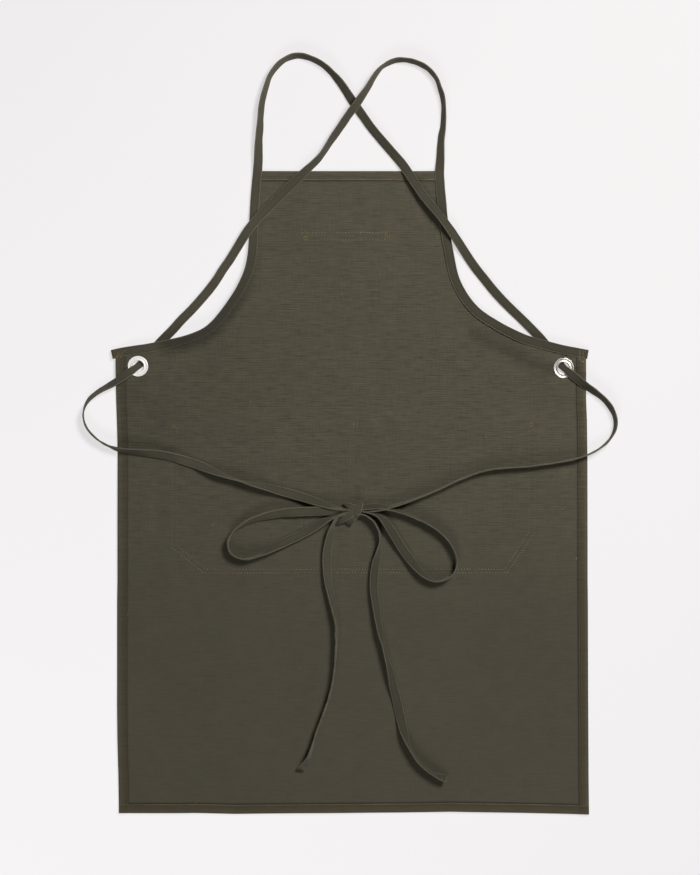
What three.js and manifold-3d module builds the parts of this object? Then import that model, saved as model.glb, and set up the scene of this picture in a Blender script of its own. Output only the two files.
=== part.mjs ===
// A cross-back work apron laid out flat on its front, in millimetres.
// +Z is up, +Y points to the neck, and the origin is on the floor under the middle of the panel.
import * as THREE from 'three';
import { mergeVertices } from 'three/addons/utils/BufferGeometryUtils.js';
import Module from 'manifold-3d';

const wasm = await Module();
wasm.setup();

// Driving sizes of the cloth
const panelWidth = 660;
const lapHeight = 649;
const bibHeight = 251;
const bibWidth = 268;
const bibLean = -5;
const clothGauge = 1;
const hemWidth = 14;
const hemRise = 1;
const restGap = 0.3;

// Pocket and chest tape on the front, which is the side that lies underneath
const pocketWidth = 508;
const pocketHeight = 217;
const pocketFoot = 333;
const pocketSlant = 45;
const pocketHemRise = 0.8;
const chestTapeLength = 124;
const chestTapeHeight = 808;

// Straps: one folded tape binds each armhole, and goes on as neck strap and waist tie
const tapeWidth = 13;
const tapeGauge = 2.6;
const bindingGauge = 1;
const bindingOverrun = 5;
const cornerTurn = 5;
const strapReach = 165;
const tieReach = 50;
const knotHeight = 421;

// Grommets in the wings
const grommetWidth = 29;
const grommetHole = 16;
const grommetSideInset = 29;
const grommetTopInset = 23;
const grommetMargin = 2;
const flangeGauge = 1.2;
const barrelWall = 1.2;

// How the cloth and the straps drape over what lies under them
const drapeSlope = 0.12;
const waveRise = 1.4;
const wavePitch = 210;
const waveSlant = 0.7;
const waveFrom = 0.7;
const wingFlatShare = 1.5;
const widestCell = 30;
const strapSlope = 0.4;
const strapStep = 14;

// Knot, in shares of the tape's width; its one wrap is in shares of the core
const knotShares = { across: 0.95, along: 1.2, up: 0.55, drop: 0.2 };
const wrapShares = { along: 1.1, up: 1.04, wide: 0.8, right: 0.15 };
const knotGap = 0.36;
const knotSides = 12;
const knotRings = 8;

// Distance within which two points are one, and the least length that is divided by
const weldDistance = 1e-4;
const tiny = 1e-9;

const panelLength = lapHeight + bibHeight;
const hemY = -panelLength / 2;
const wingY = hemY + lapHeight;
const bibY = wingY + bibHeight;
const sideX = panelWidth / 2;
const grommetRadius = grommetWidth / 2;
const grommetReach = grommetRadius + grommetMargin;
const eyeletRadius = grommetHole / 2 + barrelWall;
const layerLift = Math.max(clothGauge, bindingGauge) + restGap;
const wingLift = tapeGauge + restGap + Math.max(bindingGauge, flangeGauge) + restGap * 2;

// Heights that the cutting bodies run between
const prismFloor = -20;
const prismTop = 80;

// Landmarks that the outlines and routes are shares of.
// Across: 1 is the bib's side, 2 the panel's side, 3 the outermost reach of a tie.
// Up: 0 is the bottom hem, 1 the knot, 2 the wing tips, 3 the bib's top, 4 the top of the neck straps.
const acrossMarks = [0, bibWidth / 2, sideX, sideX + tieReach];
const upMarks = [hemY, hemY + knotHeight, wingY, bibY, bibY + strapReach];

// Rows of numbers as objects whose keys are the column names
function table(columns, rows) {
  return rows.map((row) => Object.fromEntries(columns.map((column, index) => [column, row[index]])));
}

function between(marks, share) {
  const index = Math.min(Math.max(Math.floor(share), 0), marks.length - 2);
  return marks[index] + (marks[index + 1] - marks[index]) * (share - index);
}

function leanAt(y) {
  return bibLean * THREE.MathUtils.clamp((y - wingY) / bibHeight, 0, 1);
}

function place(across, up) {
  const y = between(upMarks, up);
  const x = Math.sign(across) * between(acrossMarks, Math.abs(across)) + leanAt(y);
  return new THREE.Vector2(x, y);
}

// Armhole edge from the bib's top to the wing tip, in landmark shares
const armholeTable = table(['across', 'up'], [
  [1.0, 3.0], [1.015, 2.86], [1.03, 2.7], [1.06, 2.5], [1.1, 2.389], [1.185, 2.277],
  [1.325, 2.165], [1.44, 2.105], [1.66, 2.053], [1.88, 2.018], [2.0, 2.0],
]);
const armholeSteps = 22;

function armholeEdge(side) {
  const rows = armholeTable.map(({ across, up }) => place(side * across, up));
  const points = new THREE.SplineCurve(rows).getPoints(armholeSteps);
  const last = points[points.length - 1];
  const run = last.clone().sub(points[points.length - 2]).normalize();
  points.push(last.clone().addScaledVector(run, bindingOverrun));
  return points;
}

// A line of points moved sideways; a positive distance goes towards the cloth on either side
function offsetLine(points, distance, side) {
  return points.map((point, index) => {
    const before = points[Math.max(index - 1, 0)];
    const after = points[Math.min(index + 1, points.length - 1)];
    const run = after.clone().sub(before).normalize();
    return new THREE.Vector2(point.x + side * run.y * distance, point.y - side * run.x * distance);
  });
}

// A strip between two offsets of the armhole edge, longer than the edge by extra at both ends
function armholeStrip(side, outer, inner, extra) {
  const edge = armholeEdge(side);
  if (extra > 0) {
    const first = edge[0].clone();
    edge.unshift(new THREE.Vector2(first.x, first.y + extra));
    const last = edge[edge.length - 1];
    const run = last.clone().sub(edge[edge.length - 2]).normalize();
    edge.push(last.clone().addScaledVector(run, extra));
  }
  return [...offsetLine(edge, outer, side), ...offsetLine(edge, inner, side).reverse()];
}

// Outline of the panel's cloth, which stops inside the fold of the bindings
function clothOutline(inset) {
  const sideOf = (side) => {
    const line = offsetLine(armholeEdge(side), inset, side);
    return line.filter((point) => point.y < bibY && Math.abs(point.x) < sideX);
  };
  const left = sideOf(-1);
  const right = sideOf(1).reverse();
  const leftTop = new THREE.Vector2(left[0].x, bibY);
  const rightTop = new THREE.Vector2(right[right.length - 1].x, bibY);
  const leftTip = new THREE.Vector2(-sideX, left[left.length - 1].y);
  const rightTip = new THREE.Vector2(sideX, right[0].y);
  return [
    new THREE.Vector2(-sideX, hemY), new THREE.Vector2(sideX, hemY),
    rightTip, ...right, rightTop, leftTop, ...left, leftTip,
  ];
}

function rectangle(lowX, lowY, highX, highY) {
  return [
    new THREE.Vector2(lowX, lowY), new THREE.Vector2(highX, lowY),
    new THREE.Vector2(highX, highY), new THREE.Vector2(lowX, highY),
  ];
}

function distanceToLine(points, x, y) {
  let nearest = Infinity;
  for (let index = 0; index + 1 < points.length; index += 1) {
    const start = points[index];
    const run = points[index + 1].clone().sub(start);
    const share = ((x - start.x) * run.x + (y - start.y) * run.y) / Math.max(run.lengthSq(), tiny);
    const held = THREE.MathUtils.clamp(share, 0, 1);
    nearest = Math.min(nearest, Math.hypot(x - start.x - run.x * held, y - start.y - run.y * held));
  }
  return nearest;
}

function contains(points, x, y) {
  let inside = false;
  for (let index = 0, last = points.length - 1; index < points.length; last = index, index += 1) {
    const a = points[index];
    const b = points[last];
    const straddles = a.y > y !== b.y > y;
    if (straddles && x < ((b.x - a.x) * (y - a.y)) / (b.y - a.y) + a.x) {
      inside = !inside;
    }
  }
  return inside;
}

function distanceToBox([lowX, lowY, highX, highY], x, y) {
  return Math.hypot(Math.max(lowX - x, x - highX, 0), Math.max(lowY - y, y - highY, 0));
}

const pocketBox = [-pocketWidth / 2, hemY + pocketFoot, pocketWidth / 2, hemY + pocketFoot + pocketHeight];
const pocketHemBox = [pocketBox[0], pocketBox[3] - hemWidth, pocketBox[2], pocketBox[3]];
const chestBox = [
  leanAt(hemY + chestTapeHeight) - chestTapeLength / 2, hemY + chestTapeHeight - tapeWidth / 2,
  leanAt(hemY + chestTapeHeight) + chestTapeLength / 2, hemY + chestTapeHeight + tapeWidth / 2,
];
const grommetSpots = {
  [-1]: new THREE.Vector2(-sideX + grommetSideInset, wingY - grommetTopInset),
  [1]: new THREE.Vector2(sideX - grommetSideInset, wingY - grommetTopInset),
};
const knotSpot = new THREE.Vector2(0, upMarks[1] - tapeWidth * knotShares.drop);

// Strap routes in landmark shares; turn is the tape's tilt in degrees, 0 flat and 90 on its edge
const routeColumns = ['across', 'up', 'turn'];
const neckLeftRoute = table(routeColumns, [
  [-0.95, 3.111, 20], [-0.94, 3.213, 45], [-0.93, 3.417, 60], [-0.9, 3.587, 70], [-0.84, 3.774, 85],
  [-0.71, 3.919, 90], [-0.53, 3.976, 90], [-0.33, 3.936, 80], [-0.16, 3.826, 60], [-0.02, 3.672, 20],
  [0.09, 3.536, 0], [0.24, 3.366, 0], [0.4, 3.213, 0], [0.56, 3.06, 0], [0.76, 2.897, 0],
  [0.98, 2.733, 0], [1.12, 2.569, 0], [1.28, 2.389, 0], [1.47, 2.221, 0], [1.61, 2.109, 0],
  [1.7, 2.036, 0],
]);
const neckRightRoute = table(routeColumns, [
  [0.96, 3.111, 25], [0.97, 3.213, 45], [0.99, 3.451, 60], [0.98, 3.63, 72], [0.91, 3.809, 85],
  [0.76, 3.923, 90], [0.57, 3.949, 90], [0.41, 3.911, 90], [0.29, 3.809, 60], [0.17, 3.672, 20],
  [0.07, 3.536, 0], [-0.1, 3.366, 0], [-0.22, 3.213, 0], [-0.38, 3.06, 0], [-0.64, 2.897, 0],
  [-0.95, 2.733, 0], [-1.13, 2.557, 0], [-1.33, 2.333, 0], [-1.53, 2.165, 0], [-1.67, 2.053, 0],
]);
const tieLeftRoute = table(routeColumns, [
  [-2.0, 1.807, 35], [-2.4, 1.76, 50], [-2.76, 1.698, 65], [-2.95, 1.609, 90], [-2.84, 1.519, 90],
  [-2.51, 1.437, 80], [-2.0, 1.388, 60], [-1.84, 1.379, 60], [-1.71, 1.354, 40], [-1.57, 1.321, 0],
  [-1.29, 1.244, 20], [-1.14, 1.206, 60], [-1.02, 1.172, 85], [-0.74, 1.131, 50], [-0.46, 1.086, 50],
]);
const tieRightRoute = table(routeColumns, [
  [1.97, 1.785, 60], [2.28, 1.729, 85], [2.59, 1.655, 90], [2.79, 1.578, 90], [2.77, 1.496, 90],
  [2.51, 1.412, 90], [2.0, 1.351, 90], [1.83, 1.31, 90], [1.53, 1.274, 90], [1.38, 1.274, 90],
  [1.06, 1.206, 90], [0.62, 1.09, 90],
]);
const loopLeftRoute = table(routeColumns, [
  [-0.39, 1.001, 90], [-0.69, 0.997, 90], [-0.94, 0.988, 90], [-1.11, 0.957, 90], [-1.2, 0.903, 90],
  [-1.19, 0.866, 90], [-1.13, 0.846, 90], [-1.05, 0.843, 90], [-0.83, 0.876, 90], [-0.48, 0.93, 90],
]);
const loopRightRoute = table(routeColumns, [
  [0.37, 1.014, 90], [0.58, 0.991, 90], [0.82, 0.949, 90], [1.01, 0.894, 90], [1.07, 0.83, 90],
  [1.05, 0.793, 90], [0.97, 0.772, 90], [0.85, 0.766, 90], [0.7, 0.785, 90], [0.54, 0.837, 90],
  [0.39, 0.924, 90],
]);
const tailLeftRoute = table(routeColumns, [
  [-0.24, 0.887, 80], [-0.26, 0.83, 70], [-0.25, 0.773, 60], [-0.18, 0.693, 60], [-0.14, 0.64, 60],
  [-0.16, 0.547, 60], [-0.19, 0.45, 60], [-0.29, 0.351, 60], [-0.39, 0.253, 40], [-0.47, 0.173, 20],
  [-0.58, 0.137, 0],
]);
const tailRightRoute = table(routeColumns, [
  [0.29, 0.907, 80], [0.25, 0.847, 80], [0.2, 0.763, 60], [0.23, 0.693, 40], [0.33, 0.547, 30],
  [0.4, 0.49, 80], [0.45, 0.407, 40], [0.53, 0.303, 20], [0.6, 0.223, 20], [0.73, 0.165, 0],
  [0.88, 0.13, 0], [0.99, 0.117, 0],
]);

// Rows close to the knot, in shares of the tape's width from the knot's middle
const knotColumns = ['right', 'up', 'turn'];
const knotRows = {
  tieLeft: table(knotColumns, [[-1.62, 0.75, 70], [-0.32, 0.5, 90]]),
  tieRight: table(knotColumns, [[2.45, 0.7, 90], [1.19, 0.54, 90], [0.11, 0.5, 90]]),
  loopLeftStart: table(knotColumns, [[-0.11, 0.17, 90], [-1.84, 0.2, 90]]),
  loopLeftEnd: table(knotColumns, [[-1.62, -0.19, 90], [-0.11, -0.11, 90]]),
  loopRightStart: table(knotColumns, [[0.32, 0.2, 90], [1.84, 0.19, 90]]),
  loopRightEnd: table(knotColumns, [[2.27, -0.25, 90], [0.32, -0.11, 90]]),
  tailLeft: table(knotColumns, [[-0.11, -0.59, 90], [-1.08, -0.59, 90], [-1.94, -1.08, 90]]),
  tailRight: table(knotColumns, [[0.32, -0.49, 90], [1.62, -0.63, 90], [2.32, -1.3, 90]]),
};

const alongRoute = (rows) => rows.map(({ across, up, turn }) => ({ at: place(across, up), turn }));
const nearKnot = (rows) => rows.map(({ right, up, turn }) => (
  { at: new THREE.Vector2(knotSpot.x + right * tapeWidth, knotSpot.y + up * tapeWidth), turn }
));

// Unit direction in which a strap reaches its grommet
function grommetRun(side, route) {
  const { across, up } = route[route.length - 1];
  return grommetSpots[side].clone().sub(place(across, up)).normalize();
}
const grommetRuns = { [-1]: grommetRun(-1, neckRightRoute), [1]: grommetRun(1, neckLeftRoute) };

// A tie's way up through its grommet: along in shares of the passage's reach either side of the hole's
// middle, up in shares of the flange's height, and the tape gathered to a share of its width
const tieStart = grommetRadius * 0.8;
const passageReach = grommetHole * 0.26;
const passageWidth = 0.72;
const passageEnd = 2.6;
const passageTable = table(['along', 'up'], [[-1.3, 0], [-0.5, 0.25], [0.5, 0.75], [1.3, 1]]);

const atGrommet = (side, along, turn = 0) => (
  { at: grommetSpots[side].clone().addScaledVector(grommetRuns[side], along), turn }
);

// Bib corner where a neck strap sets off from the end of its binding
function bibCorner(side) {
  const across = side * (bibWidth / 2 - tapeWidth / 2) + bibLean;
  return { at: new THREE.Vector2(across, bibY + restGap), turn: cornerTurn };
}

// A route as stations a short step apart, with the distance run so far
const denseStep = 3;
function stationsOf(rows) {
  const curve = new THREE.CatmullRomCurve3(
    rows.map(({ at }) => new THREE.Vector3(at.x, at.y, 0)), false, 'centripetal',
  );
  const stations = [];
  const spans = rows.length - 1;
  let run = 0;
  for (let span = 0; span < spans; span += 1) {
    const reach = rows[span].at.distanceTo(rows[span + 1].at);
    const steps = Math.max(Math.ceil(reach / denseStep), 1);
    for (let step = span === 0 ? 0 : 1; step <= steps; step += 1) {
      const share = step / steps;
      const point = curve.getPoint((span + share) / spans);
      const previous = stations[stations.length - 1] ?? point;
      run += Math.hypot(point.x - previous.x, point.y - previous.y);
      const degrees = THREE.MathUtils.lerp(rows[span].turn, rows[span + 1].turn, share);
      stations.push({ x: point.x, y: point.y, run, turn: THREE.MathUtils.degToRad(degrees) });
    }
  }
  stations.forEach((station, index) => {
    const before = stations[Math.max(index - 1, 0)];
    const after = stations[Math.min(index + 1, stations.length - 1)];
    const length = Math.hypot(after.x - before.x, after.y - before.y);
    station.sideX = (after.y - before.y) / length;
    station.sideY = -(after.x - before.x) / length;
  });
  return stations;
}

// Half of a turned tape's width in plan, and half of its height
const turned = (turn, level, upright) => (
  (level / 2) * Math.abs(Math.cos(turn)) + (upright / 2) * Math.abs(Math.sin(turn))
);
const halfSpan = (turn) => turned(turn, tapeWidth, tapeGauge);
const halfRise = (turn) => turned(turn, tapeGauge, tapeWidth);

// The neck straps run over the bib, lie on the floor below one mark, and under the wing below another
const floorMark = 2.45;
const wingMark = 2.16;
const onFloorBelow = between(upMarks, floorMark);
const underWingBelow = between(upMarks, wingMark);
const neckPlans = {
  [-1]: stationsOf([bibCorner(-1), ...alongRoute(neckLeftRoute), atGrommet(1, -tieStart - restGap)]),
  [1]: stationsOf([bibCorner(1), ...alongRoute(neckRightRoute), atGrommet(-1, -tieStart - restGap)]),
};
const underWing = [-1, 1].map((side) => [
  ...neckPlans[side].filter(({ y }) => y < underWingBelow).map(({ x, y }) => new THREE.Vector2(x, y)),
  grommetSpots[-side],
]);

// Height of the cloth's underside over the floor
const armholeEdges = [armholeEdge(-1), armholeEdge(1)];
const ramp = (lift, distance) => lift - drapeSlope * Math.max(distance, 0);

function waveAt(x, y) {
  const towardsEdge = Math.max(Math.abs(x) / sideX, (hemY + lapHeight / 2 - y) / (lapHeight / 2));
  const share = THREE.MathUtils.smoothstep(towardsEdge, waveFrom, 1);
  const phase = (2 * Math.PI * (x + waveSlant * y)) / wavePitch;
  return (waveRise / 2) * share * (1 + Math.sin(phase));
}

function undersideAt(x, y) {
  let height = waveAt(x, y);
  height = Math.max(height, ramp(layerLift, distanceToBox(pocketBox, x, y)));
  height = Math.max(height, ramp(layerLift + pocketHemRise, distanceToBox(pocketHemBox, x, y)));
  height = Math.max(height, ramp(layerLift, distanceToBox(chestBox, x, y) - widestCell));
  armholeEdges.forEach((edge) => {
    height = Math.max(height, ramp(layerLift, distanceToLine(edge, x, y) - tapeWidth - widestCell));
  });
  underWing.forEach((line) => {
    height = Math.max(height, ramp(wingLift, distanceToLine(line, x, y) - grommetReach * wingFlatShare));
  });
  return height;
}

// Grid lines through the named places, with more between them where they lie far apart
function gridLines(stops) {
  const sorted = [...stops].sort((a, b) => a - b);
  const lines = [sorted[0]];
  for (const stop of sorted.slice(1)) {
    const from = lines[lines.length - 1];
    const count = stop - from < clothGauge ? 0 : Math.ceil((stop - from) / widestCell);
    for (let index = 1; index <= count; index += 1) {
      lines.push(from + ((stop - from) * index) / count);
    }
  }
  return lines;
}

const halfLines = [
  0, pocketBox[2], pocketBox[2] + hemWidth, sideX - grommetSideInset - grommetReach,
  sideX - grommetSideInset, sideX - hemWidth, sideX, sideX + bindingOverrun * 2,
];
const gridX = gridLines([...halfLines, ...halfLines.slice(1).map((x) => -x)]);
const gridY = gridLines([
  hemY - hemWidth / 2, hemY, hemY + hemWidth, pocketBox[1] - hemWidth, pocketBox[1], pocketHemBox[1],
  pocketBox[3], wingY - grommetTopInset - grommetReach, wingY - grommetTopInset,
  wingY - grommetTopInset + grommetReach, chestBox[1], chestBox[3],
  bibY - hemWidth, bibY, bibY + hemWidth / 2,
]);
const underside = gridY.map((y) => gridX.map((x) => undersideAt(x, y)));

// Underside height read from the grid's own triangles
function undersideOfGrid(x, y) {
  const column = THREE.MathUtils.clamp(gridX.findIndex((line) => line > x) - 1, 0, gridX.length - 2);
  const row = THREE.MathUtils.clamp(gridY.findIndex((line) => line > y) - 1, 0, gridY.length - 2);
  const u = (x - gridX[column]) / (gridX[column + 1] - gridX[column]);
  const v = (y - gridY[row]) / (gridY[row + 1] - gridY[row]);
  const a = underside[row][column];
  const b = underside[row][column + 1];
  const c = underside[row + 1][column + 1];
  const d = underside[row + 1][column];
  return u >= v ? a + u * (b - a) + v * (c - b) : a + v * (d - a) + u * (c - d);
}

// Closed body of a geometry for joining and cutting
function solidOf(geometry) {
  const bare = new THREE.BufferGeometry();
  bare.setAttribute('position', geometry.getAttribute('position'));
  bare.setIndex(geometry.index);
  const merged = mergeVertices(bare, weldDistance);
  return new wasm.Manifold(new wasm.Mesh({
    numProp: 3,
    vertProperties: new Float32Array(merged.getAttribute('position').array),
    triVerts: new Uint32Array(merged.index.array),
  }));
}

function geometryOf(solid) {
  const mesh = solid.getMesh();
  const geometry = new THREE.BufferGeometry();
  geometry.setAttribute('position', new THREE.BufferAttribute(new Float32Array(mesh.vertProperties), 3));
  geometry.setIndex(new THREE.BufferAttribute(new Uint32Array(mesh.triVerts), 1));
  geometry.computeVertexNormals();
  return geometry;
}

// A sheet that follows the draped grid, from one height over its underside to another
function slab(low, high) {
  const positions = [];
  const index = [];
  const columns = gridX.length;
  const rows = gridY.length;
  for (const offset of [low, high]) {
    for (let row = 0; row < rows; row += 1) {
      for (let column = 0; column < columns; column += 1) {
        positions.push(gridX[column], gridY[row], underside[row][column] + offset);
      }
    }
  }
  const node = (level, row, column) => level * rows * columns + row * columns + column;
  const quad = (a, b, c, d) => index.push(a, b, c, a, c, d);
  const cell = (level, row, column) => [
    node(level, row, column), node(level, row, column + 1),
    node(level, row + 1, column + 1), node(level, row + 1, column),
  ];
  for (let row = 0; row + 1 < rows; row += 1) {
    for (let column = 0; column + 1 < columns; column += 1) {
      quad(...cell(1, row, column));
      const [a, b, c, d] = cell(0, row, column);
      index.push(a, c, b, a, d, c);
    }
  }
  for (let column = 0; column + 1 < columns; column += 1) {
    quad(node(0, 0, column), node(0, 0, column + 1), node(1, 0, column + 1), node(1, 0, column));
    const last = rows - 1;
    quad(node(0, last, column + 1), node(0, last, column), node(1, last, column), node(1, last, column + 1));
  }
  for (let row = 0; row + 1 < rows; row += 1) {
    quad(node(0, row + 1, 0), node(0, row, 0), node(1, row, 0), node(1, row + 1, 0));
    const last = columns - 1;
    quad(node(0, row, last), node(0, row + 1, last), node(1, row + 1, last), node(1, row, last));
  }
  const geometry = new THREE.BufferGeometry();
  geometry.setAttribute('position', new THREE.Float32BufferAttribute(positions, 3));
  geometry.setIndex(index);
  return solidOf(geometry);
}

function prism(outline, low = prismFloor, high = prismTop) {
  const depth = high - low;
  const geometry = new THREE.ExtrudeGeometry(new THREE.Shape(outline), { depth, bevelEnabled: false });
  geometry.translate(0, 0, low);
  return solidOf(geometry);
}

const roundSides = 16;
function cylinder(radius, { x, y }) {
  const geometry = new THREE.CylinderGeometry(radius, radius, prismTop - prismFloor, roundSides);
  geometry.rotateX(Math.PI / 2);
  geometry.translate(x, y, (prismTop + prismFloor) / 2);
  return solidOf(geometry);
}

// Panel with its folded hems, which stop at the bindings
const cutEdge = bindingGauge + restGap;
function makePanel() {
  let panel = slab(0, clothGauge).intersect(prism(clothOutline(cutEdge)));
  const bibSides = [-1, 1].map((side) => side * (bibWidth / 2) + bibLean);
  const strips = [
    rectangle(-sideX, hemY, sideX, hemY + hemWidth),
    rectangle(-sideX, hemY, -sideX + hemWidth, wingY),
    rectangle(sideX - hemWidth, hemY, sideX, wingY),
    rectangle(bibSides[0], bibY - hemWidth, bibSides[1], bibY),
  ].map((outline) => prism(outline));
  let hems = strips[0].add(strips[1]).add(strips[2]).add(strips[3]);
  hems = slab(0, clothGauge + hemRise).intersect(hems).intersect(prism(clothOutline(cutEdge)));
  for (const side of [-1, 1]) {
    hems = hems.subtract(prism(armholeStrip(side, -hemWidth, tapeWidth + restGap, hemWidth)));
  }
  panel = panel.add(hems);
  for (const side of [-1, 1]) {
    panel = panel.subtract(cylinder(eyeletRadius + restGap, grommetSpots[side]));
  }
  return geometryOf(panel);
}

// Folded tape round an armhole edge, one leg over the cloth and one under it
function makeBinding(side) {
  const reach = bindingGauge + restGap;
  const outside = slab(-reach, clothGauge + reach).intersect(prism(armholeStrip(side, 0, tapeWidth, 0)));
  const fold = prism(armholeStrip(side, bindingGauge, tapeWidth + hemWidth, hemWidth));
  return geometryOf(outside.subtract(slab(-restGap, clothGauge + restGap).intersect(fold)));
}

function makePocket() {
  const [lowX, lowY, highX, highY] = pocketBox;
  const outline = [
    new THREE.Vector2(lowX + pocketSlant, lowY), new THREE.Vector2(highX - pocketSlant, lowY),
    new THREE.Vector2(highX, lowY + pocketSlant), new THREE.Vector2(highX, highY),
    new THREE.Vector2(lowX, highY), new THREE.Vector2(lowX, lowY + pocketSlant),
  ];
  const hem = rectangle(...pocketHemBox);
  return geometryOf(prism(outline, 0, clothGauge).add(prism(hem, 0, clothGauge + pocketHemRise)));
}

function makeChestTape() {
  return geometryOf(prism(rectangle(...chestBox), 0, clothGauge));
}

function makeGrommet(side) {
  const spot = grommetSpots[side];
  const under = undersideOfGrid(spot.x, spot.y);
  const low = under - restGap;
  const high = under + clothGauge + restGap;
  const hole = grommetHole / 2;
  const edge = flangeGauge / 2;
  const profile = [
    [hole, low - edge], [hole + edge, low - flangeGauge], [grommetRadius - edge, low - flangeGauge],
    [grommetRadius, low - edge], [grommetRadius - edge, low], [eyeletRadius, low], [eyeletRadius, high],
    [grommetRadius - edge, high], [grommetRadius, high + edge], [grommetRadius - edge, high + flangeGauge],
    [hole + edge, high + flangeGauge], [hole, high + edge], [hole, low - edge],
  ].map(([radius, z]) => new THREE.Vector2(radius, z));
  const geometry = new THREE.LatheGeometry(profile, roundSides);
  geometry.rotateX(Math.PI / 2);
  geometry.translate(spot.x, spot.y, 0);
  return geometryOf(solidOf(geometry));
}

// Top of the cloth, hem, binding or grommet under a point; the floor where there is no cloth
const broadOutline = clothOutline(0);
function topAt(x, y) {
  const edgeDistance = Math.min(...armholeEdges.map((edge) => distanceToLine(edge, x, y)));
  if (!contains(broadOutline, x, y) && edgeDistance > clothGauge) {
    return 0;
  }
  const single = undersideOfGrid(x, y) + clothGauge;
  const layers = [single];
  const nearHem = sideX - Math.abs(x) < hemWidth + clothGauge || y < hemY + hemWidth + clothGauge
    || y > bibY - hemWidth - clothGauge;
  if (nearHem) {
    layers.push(single + hemRise);
  }
  if (edgeDistance < tapeWidth + clothGauge) {
    layers.push(single + restGap + bindingGauge);
  }
  for (const side of [-1, 1]) {
    const away = grommetSpots[side].distanceTo(new THREE.Vector2(x, y));
    if (away < grommetRadius + clothGauge) {
      layers.push(single + restGap + flangeGauge);
    }
  }
  return Math.max(...layers) + restGap;
}

// Top of a strap that is already laid, over a point
function strapTopAt(strap, x, y) {
  let top = 0;
  for (const ring of strap) {
    if (Math.hypot(ring.x - x, ring.y - y) < halfSpan(ring.turn) + denseStep) {
      top = Math.max(top, ring.low + 2 * halfRise(ring.turn) + restGap);
    }
  }
  return top;
}

// Heights of a strap along its route: it rests on what is under it and climbs and falls gently
const footprint = [-1, -0.5, 0, 0.5, 1];
const laid = {};
function lay(name, stations, { over = [], floor = () => false, passage = null } = {}) {
  const lowAt = (station) => {
    const half = halfSpan(station.turn) + restGap;
    const spots = footprint.map((share) => (
      [station.x + station.sideX * half * share, station.y + station.sideY * half * share]
    ));
    const base = floor(station) ? [0] : spots.map(([x, y]) => topAt(x, y));
    const crossed = over.flatMap((other) => spots.map(([x, y]) => strapTopAt(laid[other], x, y)));
    return Math.max(...base, ...crossed);
  };
  const dense = stations.map((station) => ({ ...station, low: lowAt(station) }));
  const total = dense[dense.length - 1].run;
  const freeFrom = passage ? passage.end : 0;
  const count = Math.max(Math.round((total - freeFrom) / strapStep), 2);
  const runs = Array.from(
    { length: count + 1 }, (_, index) => freeFrom + ((total - freeFrom) * index) / count,
  );
  const step = runs[1] - runs[0];
  const rings = runs.map((run) => {
    const near = dense.filter((station) => (
      Math.abs(station.run - run) <= step && station.run >= freeFrom - step / 2
    ));
    return { ...stationAt(dense, run), low: Math.max(...near.map(({ low }) => low)) };
  });
  rings.forEach((ring) => {
    const others = rings.map((other) => other.low - strapSlope * Math.abs(other.run - ring.run));
    ring.low = Math.max(...others);
  });
  const leadRows = passage ? passage.rows : [];
  const lead = leadRows.map(({ run, low, width }) => ({ ...stationAt(dense, run), low, width }));
  laid[name] = [...lead, ...rings];
  return laid[name];
}

function stationAt(stations, run) {
  const after = Math.max(stations.findIndex((station) => station.run >= run - weldDistance), 1);
  const a = stations[after - 1];
  const b = stations[after];
  const share = THREE.MathUtils.clamp((run - a.run) / Math.max(b.run - a.run, tiny), 0, 1);
  const keys = ['x', 'y', 'turn', 'sideX', 'sideY'];
  const mixed = Object.fromEntries(keys.map((key) => [key, THREE.MathUtils.lerp(a[key], b[key], share)]));
  return { ...mixed, run, width: 1 };
}

// A tape's section, in shares of its half width and half thickness
const tapeSection = [[1, 0], [0.8, 1], [-0.8, 1], [-1, 0], [-0.8, -1], [0.8, -1]];
function sweepTape(rings) {
  const centres = rings.map((ring) => new THREE.Vector3(ring.x, ring.y, ring.low + halfRise(ring.turn)));
  const positions = [];
  const index = [];
  const sides = tapeSection.length;
  rings.forEach((ring, row) => {
    const before = centres[Math.max(row - 1, 0)];
    const after = centres[Math.min(row + 1, rings.length - 1)];
    const run = after.clone().sub(before).normalize();
    const across = new THREE.Vector3(run.y, -run.x, 0).normalize();
    const up = across.clone().cross(run);
    const [cos, sin] = [Math.cos(ring.turn), Math.sin(ring.turn)];
    const wide = across.clone().multiplyScalar(cos).addScaledVector(up, sin);
    const thick = across.clone().multiplyScalar(-sin).addScaledVector(up, cos);
    for (const [a, b] of tapeSection) {
      const point = centres[row].clone();
      point.addScaledVector(wide, (a * ring.width * tapeWidth) / 2);
      point.addScaledVector(thick, (b * tapeGauge) / 2);
      positions.push(point.x, point.y, point.z);
    }
  });
  for (let row = 0; row + 1 < rings.length; row += 1) {
    for (let corner = 0; corner < sides; corner += 1) {
      const next = (corner + 1) % sides;
      const [a, b] = [row * sides + corner, row * sides + next];
      index.push(a, a + sides, b, b, a + sides, b + sides);
    }
  }
  const last = (rings.length - 1) * sides;
  for (let corner = 1; corner + 1 < sides; corner += 1) {
    index.push(0, corner, corner + 1);
    index.push(last, last + corner + 1, last + corner);
  }
  const geometry = new THREE.BufferGeometry();
  geometry.setAttribute('position', new THREE.Float32BufferAttribute(positions, 3));
  geometry.setIndex(index);
  return solidOf(geometry);
}

// Neck straps: the left one is laid first and the right one crosses over it
function makeNeckStrap(name, side, over) {
  const floor = ({ y }) => y < onFloorBelow;
  return geometryOf(sweepTape(lay(name, neckPlans[side], { over, floor })));
}

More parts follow.
